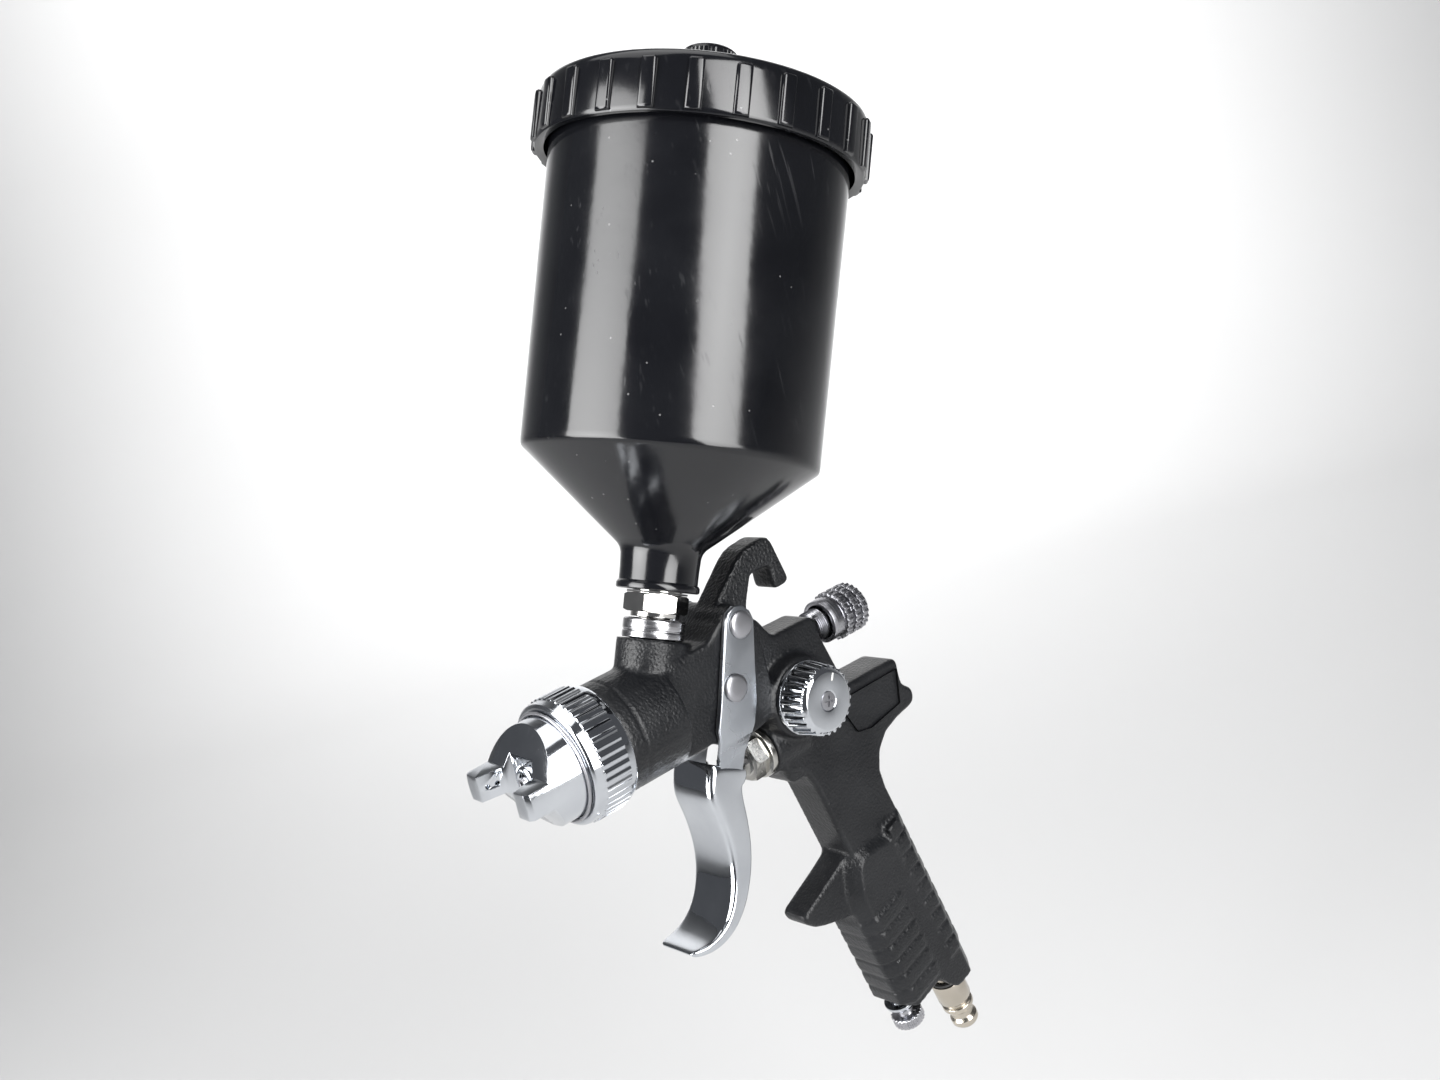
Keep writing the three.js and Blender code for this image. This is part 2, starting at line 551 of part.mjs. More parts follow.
// ---- Air valve ----
function airValveNut() {
  const outside = join(
    prism(6, 7.5, VALVE_FACE - 8, VALVE_FACE - 2.4, X, VALVE),
    rod(VALVE_BORE_R + 2.8, VALVE_FACE - 2.5, VALVE_FACE - GAP, X, VALVE, 20),
    rod(VALVE_BORE_R - GAP, VALVE_FACE - 0.4, VALVE_SEAT, X, VALVE),
  );
  const port = rod(2.2, -8, 8, new THREE.Vector3(0, 0, 1), { x: VALVE_SEAT - 4, z: VALVE_Z }, 16);
  const cuts = [rod(VALVE_STEM_R + RUN, VALVE_FACE - 9, VALVE_FACE + 4, X, VALVE),
    rod(3.2, VALVE_FACE + 3, VALVE_SEAT + 1, X, VALVE), port];
  return cuts.reduce((a, b) => a.subtract(b), outside);
}

function airValveStem() {
  const head = VALVE_BORE_R - 0.9;
  return turned([[0, STEM_TIP], [0.8, STEM_TIP + 0.15], [VALVE_STEM_R, STEM_TIP + 1],
    [VALVE_STEM_R, VALVE_SEAT + 2.1], [head, VALVE_SEAT + 2.1], [head, VALVE_SEAT + 4],
    [0, VALVE_SEAT + 4]], X, VALVE, 20);
}

function airValveSeal() {
  return tube(VALVE_STEM_R + GAP, VALVE_BORE_R - 1, VALVE_SEAT + GAP, VALVE_SEAT + 1.8, X, VALVE, 20);
}

function airValveSpring() {
  return coil(3.6, 0.5, 6, VALVE_SEAT + 4.3, VALVE_BORE_END - GAP, X, VALVE);
}

// ---- Pattern adjuster ----
function patternBush() {
  return tube(2.2, FAN_BUSH_R - RUN, -FAN_FACE - 0.8, -2, Y, FAN, 20);
}

function patternSpindle() {
  return turned([[0, -FAN_FACE - 6.5], [2, -FAN_FACE - 6.5], [2, -1], [3, -1], [1.2, 1.6], [0, 1.6]], Y, FAN, 20);
}

function patternKnob() {
  const y = -FAN_KNOB_FACE;
  const back = -FAN_FACE - GAP;
  const core = turned([[0, y], [8.8, y], [9.3, y + 0.6], [11, back - 1.2], [FAN_KNOB_R, back - 1],
    [FAN_KNOB_R, back], [5.4, back], [5.4, back - 2], [2.2, back - 2], [2.2, back - 6.6],
    [0, back - 6.6]], Y, FAN, 28);
  const flutes = toothed(9.2, 9.8, 24, y + 0.8, back - 1.1, Y, FAN, 1.16);
  const hollow = rod(6, y - 1, back + 1, Y, FAN, 28);
  const countersink = [[0, y - 1], [4.3, y - 1], [3.4, y], [1.6, y + 1.9], [1.6, back], [0, back]];
  const screwHole = turned(countersink, Y, FAN, 20);
  return core.add(flutes.subtract(hollow)).subtract(screwHole);
}

function patternScrew() {
  const y = -FAN_KNOB_FACE;
  const screw = turned([[0, y - 0.1], [2.9, y - 0.05], [1.3, y + 1.8], [1.3, y + 4.6], [0, y + 4.6]], Y, FAN, 20);
  const cross = [box([-1.7, -1, -0.35], [1.7, 0.8, 0.35]), box([-0.35, -1, -1.7], [0.35, 0.8, 1.7])];
  return cross.reduce((a, b) => a.subtract(b.translate([FAN.x, y, FAN.z])), screw);
}

// ---- Under the grip ----
function regulatorCollar() {
  const b = REGULATOR_BASE;
  return turned([[1.7, b - 8], [3.3, b - 8], [3.3, b + GAP], [REGULATOR_R, b + GAP],
    [REGULATOR_R, b + 1.2], [REGULATOR_R - 1.8, b + 3.6], [1.7, b + 3.6]], DOWN_HANDLE, REGULATOR, 20);
}

function regulatorSpindle() {
  const b = REGULATOR_BASE;
  return turned([[0, b - 15], [2.2, b - 12.5], [2.2, b - 9], [1.4, b - 8.4], [1.4, b + 7.2], [0, b + 7.2]],
    DOWN_HANDLE, REGULATOR, 20);
}

function regulatorKnob() {
  const b = REGULATOR_BASE + 3.6 + GAP;
  const neck = rod(2.9, b, b + 2.6, DOWN_HANDLE, REGULATOR);
  const disc = toothed(5.3, 5.7, 24, b + 2.5, b + 6.8, DOWN_HANDLE, REGULATOR);
  return neck.add(disc).subtract(rod(1.4 + GAP, b - 1, b + 3.9, DOWN_HANDLE, REGULATOR, 20));
}

function inletSeal() {
  return tube(INLET_BORE_R + 0.2, INLET_PLUG_R - 0.4, GRIP_END + 0.7, GRIP_END + 1.6, DOWN_HANDLE, INLET, 20);
}

function airInletPlug() {
  const b = GRIP_END + 1.9;
  const r = INLET_PLUG_R;
  return turned([[2.4, b - 12], [INLET_BORE_R - GAP, b - 12], [INLET_BORE_R - GAP, b], [r, b], [r, b + 9],
    [r - 1.5, b + 9.8], [r - 1.5, b + 10.8], [r - 0.4, b + 11.2], [r - 0.4, b + 13], [r - 2.2, b + 14],
    [r - 2.2, b + 17.2], [r - 1.2, b + 18], [r - 1.2, b + 20.2], [r - 2, b + 21.2], [2.4, b + 21.2]],
    DOWN_HANDLE, INLET, 28);
}

// ---- Cup ----
function portCollar() {
  return turned([[PAINT_BORE_R, 12], [7.2 - GAP, 12], [7.2 - GAP, PORT_TOP + GAP], [COLLAR_R, PORT_TOP + GAP],
    [COLLAR_R, COLLAR_TOP - 0.5], [COLLAR_R - 0.5, COLLAR_TOP], [PAINT_BORE_R, COLLAR_TOP]], CUP_AXIS, CUP, 28);
}

function cupFitting() {
  const hex = prism(6, HEX_R, HEX_BOTTOM, NECK_BOTTOM - 0.8, CUP_AXIS, CUP);
  const seat = rod(7.4, COLLAR_TOP + GAP, NECK_BOTTOM - 0.7, CUP_AXIS, CUP, 20);
  const stub = rod(PAINT_BORE_R - GAP, 16, NECK_BOTTOM, CUP_AXIS, CUP);
  const shank = rod(7.4, NECK_BOTTOM - 1, NECK_BOTTOM + 7, CUP_AXIS, CUP, 20);
  return join(hex, seat, stub, shank).subtract(rod(3.4, 15, NECK_BOTTOM + 8, CUP_AXIS, CUP));
}

function cupSeal() {
  return tube(7.4 + GAP, 9.2, NECK_BOTTOM - 0.6, NECK_BOTTOM - 0.1, CUP_AXIS, CUP, 20);
}

function cupShell() {
  const w = CUP_WALL;
  const floor = NECK_BOTTOM + 3;
  const low = CUP_R - CUP_DRAFT;
  return turned([[7.4 + GAP, NECK_BOTTOM + 0.1], [NECK_R, NECK_BOTTOM + 0.1], [NECK_R, NECK_BOTTOM + 2],
    [NECK_R - 0.6, NECK_BOTTOM + 2.6], [NECK_R - 0.2, NECK_TOP - 2], [NECK_R + 2, NECK_TOP + 1.5],
    [low - 1.5, CUP_CONE_TOP - 1], [low, CUP_CONE_TOP + 0.6], [CUP_R, CUP_RIM],
    [CUP_R - w, CUP_RIM], [low - w, CUP_CONE_TOP + 1.4], [NECK_R, NECK_TOP + 3], [NECK_R - 2.6, NECK_TOP],
    [NECK_R - 2.6, floor], [7.4 + GAP, floor]], CUP_AXIS, CUP, 36);
}

function strainer() {
  const s = NECK_BOTTOM + 7 + GAP;
  return turned([[3.4, s], [6.6, s], [9.4, NECK_TOP + 3], [10.6, NECK_TOP + 3], [10.6, NECK_TOP + 4],
    [8.8, NECK_TOP + 4], [5.8, s + 1], [3.4, s + 1]], CUP_AXIS, CUP, 20);
}

function lidGasket() {
  return tube(CUP_R - CUP_WALL - 2.5, CUP_R + 0.8, CUP_RIM + GAP, CUP_RIM + 1.6, CUP_AXIS, CUP, 28);
}

function cupLid() {
  const inner = CUP_R + GAP + 1;
  const under = LID_TOP - LID_WALL;
  const shell = turned([[0, LID_TOP], [LID_R / 3, LID_TOP - 0.7], [LID_R * 0.7, LID_TOP - 3.6],
    [LID_R - 5, LID_SHOULDER + 0.6], [LID_R - 2.4, LID_SHOULDER - 0.8], [LID_R - 1.2, LID_SHOULDER - 3],
    [LID_R - 1.2, LID_BOTTOM], [inner, LID_BOTTOM], [inner, CUP_RIM + 1.9], [inner - 8, CUP_RIM + 1.9],
    [LID_R * 0.66, under - 3.4], [LID_R / 3, under - 0.7], [0, under]], CUP_AXIS, CUP, 36);
  const turn = new THREE.Quaternion().setFromUnitVectors(new THREE.Vector3(0, 0, 1), CUP_AXIS);
  let lid = shell;
  for (let i = 0; i < LID_RIBS; i++) {
    const geometry = new THREE.BoxGeometry(2.2, 3, LID_SHOULDER - LID_BOTTOM - 5);
    geometry.translate(LID_R - 1.1, 0, (LID_SHOULDER + LID_BOTTOM) / 2 - 1);
    geometry.rotateZ((2 * Math.PI * i) / LID_RIBS);
    lid = lid.add(solid(geometry.applyQuaternion(turn).translate(CUP_X, 0, 0)));
  }
  const vent = place([CUP_X + 6 * Math.cos(CUP_TILT), -6 * Math.sin(CUP_TILT)]);
  const cuts = [rod(VENT_SHAFT_R, under - 4, LID_TOP + 1, CUP_AXIS, CUP),
    rod(0.8, under - 4, LID_TOP + 1, CUP_AXIS, vent, 10)];
  return cuts.reduce((a, b) => a.subtract(b), lid);
}

function lidVentKnob() {
  const base = LID_TOP + GAP;
  const clipTop = LID_TOP - LID_WALL - GAP;
  const cap = toothed(VENT_R - 0.6, VENT_R, 20, base, VENT_TOP, CUP_AXIS, CUP, 0.97);
  const shaft = rod(VENT_SHAFT_R - RUN, clipTop - 0.5, base + 1, CUP_AXIS, CUP);
  const clip = rod(VENT_SHAFT_R + 1, clipTop - 1.6, clipTop - 0.4, CUP_AXIS, CUP);
  return join(cap, shaft, clip);
}

// ---- Materials and assembly ----
const finish = (color, roughness, metalness) => ({ color, roughness, metalness });
const CAST = finish(0x17181a, 0.55, 0.2);
const CHROME = finish(0xc9ccd0, 0.12, 1);
const STEEL = finish(0xa9abae, 0.3, 1);
const NICKEL = finish(0xb5ad9c, 0.28, 1);
const BRASS = finish(0xb08d4a, 0.3, 1);
const GLOSS = finish(0x0b0c0e, 0.12, 0);
const SEAL = finish(0x26241f, 0.7, 0);

const gun = new THREE.Group();
gun.position.set(-HOOK_SEAT.x, 0, -HOOK_SEAT.z);

function add(name, shape, look) {
  const mesh = shape.getMesh();
  const geometry = new THREE.BufferGeometry();
  geometry.setAttribute("position", new THREE.BufferAttribute(mesh.vertProperties, 3));
  geometry.setIndex(new THREE.BufferAttribute(mesh.triVerts, 1));
  geometry.computeVertexNormals();
  const part = new THREE.Mesh(geometry, new THREE.MeshStandardMaterial(look));
  part.name = name;
  gun.add(part);
}

add("gun_body", gunBody(), CAST);
add("fluid_nozzle", fluidNozzle(), STEEL);
add("air_distributor", airDistributor(), BRASS);
add("air_cap", airCap(), CHROME);
add("air_cap_ring", airCapRing(), CHROME);
add("cap_wire_ring", capWireRing(), STEEL);
add("fluid_needle", fluidNeedle(), STEEL);
add("needle_collar", needleCollar(), BRASS);
add("needle_packing", needlePacking(), SEAL);
add("packing_screw", packingScrew(), BRASS);
add("needle_spring_seat", springCup(), STEEL);
add("needle_spring", needleSpring(), STEEL);
add("fluid_sleeve", fluidSleeve(), STEEL);
add("fluid_knob", fluidKnob(), STEEL);
add("trigger", trigger(), CHROME);
add("trigger_pivot_pin", pivotPin(), STEEL);
add("trigger_pivot_cap", pivotCap(), STEEL);
add("trigger_push_pin", pushPin(), STEEL);
add("air_valve_nut", airValveNut(), NICKEL);
add("air_valve_stem", airValveStem(), STEEL);
add("air_valve_seal", airValveSeal(), SEAL);
add("air_valve_spring", airValveSpring(), STEEL);
add("pattern_bush", patternBush(), BRASS);
add("pattern_spindle", patternSpindle(), STEEL);
add("pattern_knob", patternKnob(), CHROME);
add("pattern_knob_screw", patternScrew(), STEEL);
add("regulator_collar", regulatorCollar(), CHROME);
add("regulator_spindle", regulatorSpindle(), STEEL);
add("regulator_knob", regulatorKnob(), STEEL);
add("inlet_seal", inletSeal(), SEAL);
add("air_inlet_plug", airInletPlug(), NICKEL);
add("port_collar", portCollar(), STEEL);
add("cup_fitting", cupFitting(), NICKEL);
add("cup_seal", cupSeal(), SEAL);
add("cup_shell", cupShell(), GLOSS);
add("cup_strainer", strainer(), SEAL);
add("lid_gasket", lidGasket(), SEAL);
add("cup_lid", cupLid(), GLOSS);
add("lid_vent_knob", lidVentKnob(), GLOSS);

export default gun;
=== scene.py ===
"""Looks of a gravity-feed spray gun: cast body, plated trigger and cap, knobs and moulded cup."""

import json
import math

import bmesh
import bpy
from mathutils import Matrix, Vector


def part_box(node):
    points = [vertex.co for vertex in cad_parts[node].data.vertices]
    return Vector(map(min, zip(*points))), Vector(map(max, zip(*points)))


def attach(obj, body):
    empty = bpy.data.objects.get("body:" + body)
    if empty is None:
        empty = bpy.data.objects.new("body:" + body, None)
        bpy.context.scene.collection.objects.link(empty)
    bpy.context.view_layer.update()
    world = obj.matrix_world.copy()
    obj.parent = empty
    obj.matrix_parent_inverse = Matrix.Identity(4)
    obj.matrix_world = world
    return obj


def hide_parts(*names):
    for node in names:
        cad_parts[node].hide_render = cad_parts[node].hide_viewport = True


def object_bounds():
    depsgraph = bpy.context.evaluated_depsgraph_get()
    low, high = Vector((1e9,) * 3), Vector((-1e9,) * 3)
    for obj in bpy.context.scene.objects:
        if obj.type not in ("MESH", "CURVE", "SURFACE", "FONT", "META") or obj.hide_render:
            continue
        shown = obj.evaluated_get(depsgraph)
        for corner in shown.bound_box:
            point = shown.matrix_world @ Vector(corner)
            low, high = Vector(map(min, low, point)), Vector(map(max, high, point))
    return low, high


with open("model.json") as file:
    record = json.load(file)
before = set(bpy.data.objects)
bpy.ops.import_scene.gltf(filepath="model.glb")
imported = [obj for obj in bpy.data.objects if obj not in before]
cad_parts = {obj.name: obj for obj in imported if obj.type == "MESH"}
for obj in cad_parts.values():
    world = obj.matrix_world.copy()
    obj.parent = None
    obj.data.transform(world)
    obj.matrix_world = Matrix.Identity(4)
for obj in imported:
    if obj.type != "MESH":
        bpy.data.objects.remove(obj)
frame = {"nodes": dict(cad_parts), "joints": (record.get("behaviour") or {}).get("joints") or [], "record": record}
CAD_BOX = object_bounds()

MM = 0.001
JOINTS = {joint["name"]: joint for joint in frame["joints"]}

# ---- Counts of repeated features ----
RING_TEETH = 48
FLUID_KNOB_TEETH = 24
PATTERN_KNOB_TEETH = 26
REGULATOR_KNOB_TEETH = 24
VENT_KNOB_TEETH = 36
LID_RIBS = 24
REAR_GRIP_BLOCKS = 9
FRONT_GRIP_BLOCKS = 6

# ---- Sizes in millimetres ----
REAR_BLOCK_PITCH = 6.7
FRONT_BLOCK_PITCH = 6.4
GROOVE_BEHIND_FRONT = 5.2
CASTING_VOXEL = 0.7
CHEEK = 11.3  # inner face of the trigger's straps, sideways from the middle
PIN_SEAT = 13.6
PATTERN_KNOB_FACE = 22.8
REGULATOR_BASE = 72.5
PLUG_BASE = 83.9

# ---- Axes of the gun ----
CUP_AXIS = Vector(JOINTS["cup_unscrew"]["axis"]).normalized()
DOWN_HANDLE = Vector(JOINTS["regulator_turn"]["axis"]).normalized()
SPRAY_HEIGHT = JOINTS["cap_turn"]["pos_m"][2]
RING_GAP = 0.7 * MM
BARREL = Vector((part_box("air_cap_ring")[1].x + RING_GAP, 0, SPRAY_HEIGHT))
X = Vector((1, 0, 0))
Y = Vector((0, 1, 0))
Z = Vector((0, 0, 1))


def at(x, z, y=0.0):
    """A point given in millimetres from the middle of the barrel's front."""
    return BARREL + Vector((x, y, z)) * MM


NOZZLE = (BARREL, X)
CUP = (Vector(JOINTS["cup_unscrew"]["pos_m"]), CUP_AXIS)
PIVOT = (Vector(JOINTS["trigger_pull"]["pos_m"]), Y)
PUSH = (at(43.5, 0), Y)
FAN = (at(70.1, -15), -Y)
VALVE = (at(0, -29), X)
HANDLE_TOP = at(102.2, -60)
FORWARD = Vector((-math.cos(math.radians(14)), 0, -math.sin(math.radians(14))))
REGULATOR = (HANDLE_TOP + FORWARD * 32.5 * MM, DOWN_HANDLE)
INLET = (HANDLE_TOP + FORWARD * 11 * MM, DOWN_HANDLE)


def grip_point(forward, down, y=0.0):
    """A point of the handle: forward of its back line, down along it, and sideways."""
    return HANDLE_TOP + FORWARD * forward * MM + DOWN_HANDLE * down * MM + Y * y * MM


# ---- Material building blocks ----
def group(name, inputs, outputs):
    tree = bpy.data.node_groups.new(name, "ShaderNodeTree")
    for socket, kind, value in inputs:
        made = tree.interface.new_socket(socket, in_out="INPUT", socket_type=kind)
        if value is not None:
            made.default_value = value
    for socket, kind in outputs:
        tree.interface.new_socket(socket, in_out="OUTPUT", socket_type=kind)
    return tree, tree.nodes.new("NodeGroupInput"), tree.nodes.new("NodeGroupOutput")


def node(tree, kind, links=(), **values):
    made = tree.nodes.new(kind)
    for key, value in values.items():
        setattr(made, key, value)
    for socket, source in links:
        if hasattr(source, "is_output"):
            tree.links.new(source, made.inputs[socket])
        else:
            made.inputs[socket].default_value = source
    return made


def ranged(tree, source, low, high, to_low, to_high):
    made = node(tree, "ShaderNodeMapRange",
                [("Value", source), ("From Min", low), ("From Max", high), ("To Min", to_low),
                 ("To Max", to_high)])
    return made.outputs["Result"]


def grain_group():
    """Cast or moulded grain: a fine bumpy height and a slow unevenness."""
    tree, into, out = group("Grain",
                            [("Vector", "NodeSocketVector", None),
                             ("Size", "NodeSocketFloat", 900.0)],
                            [("Height", "NodeSocketFloat"), ("Unevenness", "NodeSocketFloat")])
    fine = node(tree, "ShaderNodeTexNoise",
                [("Vector", into.outputs["Vector"]), ("Scale", into.outputs["Size"]),
                 ("Detail", 3.0), ("Roughness", 0.6)])
    pits = node(tree, "ShaderNodeTexVoronoi",
                [("Vector", into.outputs["Vector"]), ("Scale", into.outputs["Size"])],
                feature="SMOOTH_F1")
    both = node(tree, "ShaderNodeMath", [(0, fine.outputs["Fac"]), (1, pits.outputs["Distance"])],
                operation="ADD")
    slow = node(tree, "ShaderNodeTexNoise",
                [("Vector", into.outputs["Vector"]), ("Scale", 55.0), ("Detail", 4.0)])
    tree.links.new(both.outputs[0], out.inputs["Height"])
    tree.links.new(slow.outputs["Fac"], out.inputs["Unevenness"])
    return tree


def hairline_group():
    """Short hairline scratches lying several ways, as a mask."""
    tree, into, out = group("Hairlines",
                            [("Vector", "NodeSocketVector", None),
                             ("Amount", "NodeSocketFloat", 0.5)], [("Mask", "NodeSocketFloat")])
    masks = []
    for turn, across, along, seed in (((0.3, 0.4, 0.2), 1900.0, 30.0, 1.0),
                                      ((0.2, -0.9, 0.7), 1500.0, 42.0, 7.0),
                                      ((1.1, 0.5, -0.8), 2100.0, 36.0, 13.0)):
        place = node(tree, "ShaderNodeMapping",
                     [("Vector", into.outputs["Vector"]), ("Rotation", turn),
                      ("Location", (seed, seed, seed)), ("Scale", (across, across, along))])
        streak = node(tree, "ShaderNodeTexNoise",
                      [("Vector", place.outputs["Vector"]), ("Scale", 0.35), ("Detail", 1.0)])
        masks.append(ranged(tree, streak.outputs["Fac"], 0.70, 0.76, 0.0, 1.0))
    total = node(tree, "ShaderNodeMath", [(0, masks[0]), (1, masks[1])], operation="MAXIMUM")
    total = node(tree, "ShaderNodeMath", [(0, total.outputs[0]), (1, masks[2])],
                 operation="MAXIMUM")
    where = node(tree, "ShaderNodeTexNoise",
                 [("Vector", into.outputs["Vector"]), ("Scale", 28.0), ("Detail", 2.0)])
    patch = ranged(tree, where.outputs["Fac"], 0.42, 0.62, 0.0, 1.0)
    total = node(tree, "ShaderNodeMath", [(0, total.outputs[0]), (1, patch)], operation="MULTIPLY")
    total = node(tree, "ShaderNodeMath", [(0, total.outputs[0]), (1, into.outputs["Amount"])],
                 operation="MULTIPLY")
    tree.links.new(total.outputs[0], out.inputs["Mask"])
    return tree


def dust_group():
    """Scattered specks of dust, as a mask."""
    tree, into, out = group("Dust",
                            [("Vector", "NodeSocketVector", None),
                             ("Amount", "NodeSocketFloat", 1.0)], [("Mask", "NodeSocketFloat")])
    cells = node(tree, "ShaderNodeTexVoronoi",
                 [("Vector", into.outputs["Vector"]), ("Scale", 320.0)])
    speck = ranged(tree, cells.outputs["Distance"], 0.11, 0.07, 0.0, 1.0)
    pick = node(tree, "ShaderNodeSeparateColor", [("Color", cells.outputs["Color"])])
    some = node(tree, "ShaderNodeMath", [(0, pick.outputs[0]), (1, 0.86)], operation="GREATER_THAN")
    both = node(tree, "ShaderNodeMath", [(0, speck), (1, some.outputs[0])], operation="MULTIPLY")
    both = node(tree, "ShaderNodeMath", [(0, both.outputs[0]), (1, into.outputs["Amount"])],
                operation="MULTIPLY")
    tree.links.new(both.outputs[0], out.inputs["Mask"])
    return tree


def turning_group():
    """Fine rings left by a lathe, laid across the Z of the vector it is given."""
    tree, into, out = group("Turning marks",
                            [("Vector", "NodeSocketVector", None),
                             ("Pitch", "NodeSocketFloat", 2600.0)], [("Height", "NodeSocketFloat")])
    place = node(tree, "ShaderNodeMapping",
                 [("Vector", into.outputs["Vector"]), ("Scale", (0.02, 0.02, 1.0))])
    rings = node(tree, "ShaderNodeTexNoise",
                 [("Vector", place.outputs["Vector"]), ("Scale", into.outputs["Pitch"]),
                  ("Detail", 2.0)])
    tree.links.new(rings.outputs["Fac"], out.inputs["Height"])
    return tree


GRAIN = grain_group()
HAIRLINES = hairline_group()
DUST = dust_group()
TURNING = turning_group()


class Finish:
    """A material under construction: its shader, its coordinates and its mixing helpers."""

    def __init__(self, name, metallic, specular=0.5, coat=0.0):
        self.material = bpy.data.materials.new(name)
        self.material.use_nodes = True
        self.tree = self.material.node_tree
        self.shader = self.tree.nodes["Principled BSDF"]
        self.shader.inputs["Metallic"].default_value = metallic
        self.shader.inputs["Specular IOR Level"].default_value = specular
        self.shader.inputs["Coat Weight"].default_value = coat
        self.shader.inputs["Coat Roughness"].default_value = 0.06
        self.place = node(self.tree, "ShaderNodeTexCoord").outputs["Object"]

    def use(self, tree, **values):
        made = node(self.tree, "ShaderNodeGroup", node_tree=tree)
        self.tree.links.new(self.place, made.inputs["Vector"])
        for socket, value in values.items():
            made.inputs[socket].default_value = value
        return made

    def turned_along(self, axis):
        """Coordinates whose Z runs along the piece's own axis."""
        turn = axis.rotation_difference(Z).to_euler()
        return node(self.tree, "ShaderNodeMapping",
                    [("Vector", self.place), ("Rotation", tuple(turn))]).outputs["Vector"]

    def colour(self, mask, first, second, low=0.0, high=1.0):
        fac = ranged(self.tree, mask, low, high, 0.0, 1.0)
        mix = node(self.tree, "ShaderNodeMix", [("Factor", fac)], data_type="RGBA")
        mix.inputs[6].default_value = (*first, 1)
        mix.inputs[7].default_value = (*second, 1)
        return mix.outputs[2]

    def over(self, base, mask, colour):
        mix = node(self.tree, "ShaderNodeMix", [("Factor", mask)], data_type="RGBA")
        self.tree.links.new(base, mix.inputs[6])
        mix.inputs[7].default_value = (*colour, 1)
        return mix.outputs[2]

    def add(self, a, b):
        return node(self.tree, "ShaderNodeMath", [(0, a), (1, b)], operation="ADD").outputs[0]

    def times(self, a, b):
        return node(self.tree, "ShaderNodeMath", [(0, a), (1, b)], operation="MULTIPLY").outputs[0]

    def bump(self, height, strength, distance):
        return node(self.tree, "ShaderNodeBump", [("Height", height), ("Strength", strength),
                                                  ("Distance", distance)]).outputs["Normal"]

    def finish(self, colour, roughness, normal):
        self.tree.links.new(colour, self.shader.inputs["Base Color"])
        self.tree.links.new(roughness, self.shader.inputs["Roughness"])
        self.tree.links.new(normal, self.shader.inputs["Normal"])
        return self.material


def coated_casting():
    f = Finish("Black coated casting", 0.0, 0.34)
    grain = f.use(GRAIN, Size=1150.0)
    dust = f.use(DUST, Amount=0.25)
    base = f.colour(grain.outputs["Unevenness"], (0.0036, 0.0040, 0.0050), (0.0075, 0.0080, 0.0092),
                    0.35, 0.65)
    base = f.over(base, dust.outputs["Mask"], (0.08, 0.08, 0.08))
    rough = ranged(f.tree, grain.outputs["Unevenness"], 0.3, 0.7, 0.30, 0.42)
    height = node(f.tree, "ShaderNodeSeparateXYZ", [("Vector", f.place)]).outputs["Z"]
    coarse = ranged(f.tree, height, SPRAY_HEIGHT + 16 * MM, SPRAY_HEIGHT + 26 * MM, 0.8, 2.2)
    return f.finish(base, rough, f.bump(f.times(grain.outputs["Height"], coarse), 0.55, 0.0003))


def gloss_moulding():
    f = Finish("Black gloss moulding", 0.0, 0.5)
    grain = f.use(GRAIN, Size=300.0)
    scratch = f.use(HAIRLINES, Amount=0.45)
    dust = f.use(DUST, Amount=0.8)
    base = f.colour(grain.outputs["Unevenness"], (0.0030, 0.0032, 0.0042), (0.0045, 0.0048, 0.006),
                    0.3, 0.7)
    base = f.over(base, f.times(scratch.outputs["Mask"], 0.16), (0.13, 0.13, 0.14))
    base = f.over(base, f.times(dust.outputs["Mask"], 0.6), (0.2, 0.2, 0.2))
    rough = ranged(f.tree, grain.outputs["Unevenness"], 0.3, 0.7, 0.10, 0.17)
    rough = f.add(rough, f.times(scratch.outputs["Mask"], 0.3))
    height = f.add(f.times(grain.outputs["Unevenness"], 0.5),
                   f.times(scratch.outputs["Mask"], -0.06))
    return f.finish(base, rough, f.bump(height, 0.35, 0.0006))


def plating(name, light, dark, low, high, scratches=0.25):
    f = Finish(name, 1.0)
    grain = f.use(GRAIN, Size=700.0)
    scratch = f.use(HAIRLINES, Amount=scratches)
    base = f.colour(grain.outputs["Unevenness"], dark, light, 0.3, 0.7)
    rough = ranged(f.tree, grain.outputs["Unevenness"], 0.3, 0.7, low, high)
    rough = f.add(rough, f.times(scratch.outputs["Mask"], 0.25))
    return f.finish(base, rough, f.bump(grain.outputs["Unevenness"], 0.12, 0.0006))


def turned_metal(name, light, dark, axis, low, high, depth=0.25):
    f = Finish(name, 1.0)
    grain = f.use(GRAIN, Size=800.0)
    marks = node(f.tree, "ShaderNodeGroup", node_tree=TURNING)
    f.tree.links.new(f.turned_along(axis), marks.inputs["Vector"])
    base = f.colour(grain.outputs["Unevenness"], dark, light, 0.3, 0.7)
    rough = ranged(f.tree, marks.outputs["Height"], 0.3, 0.7, low, high)
    return f.finish(base, rough, f.bump(marks.outputs["Height"], depth, 0.0001))


def moulded(name, light, dark, low, high):
    f = Finish(name, 0.0)
    grain = f.use(GRAIN, Size=900.0)
    base = f.colour(grain.outputs["Unevenness"], dark, light, 0.3, 0.7)
    rough = ranged(f.tree, grain.outputs["Unevenness"], 0.3, 0.7, low, high)
    return f.finish(base, rough, f.bump(grain.outputs["Height"], 0.2, 0.0002))


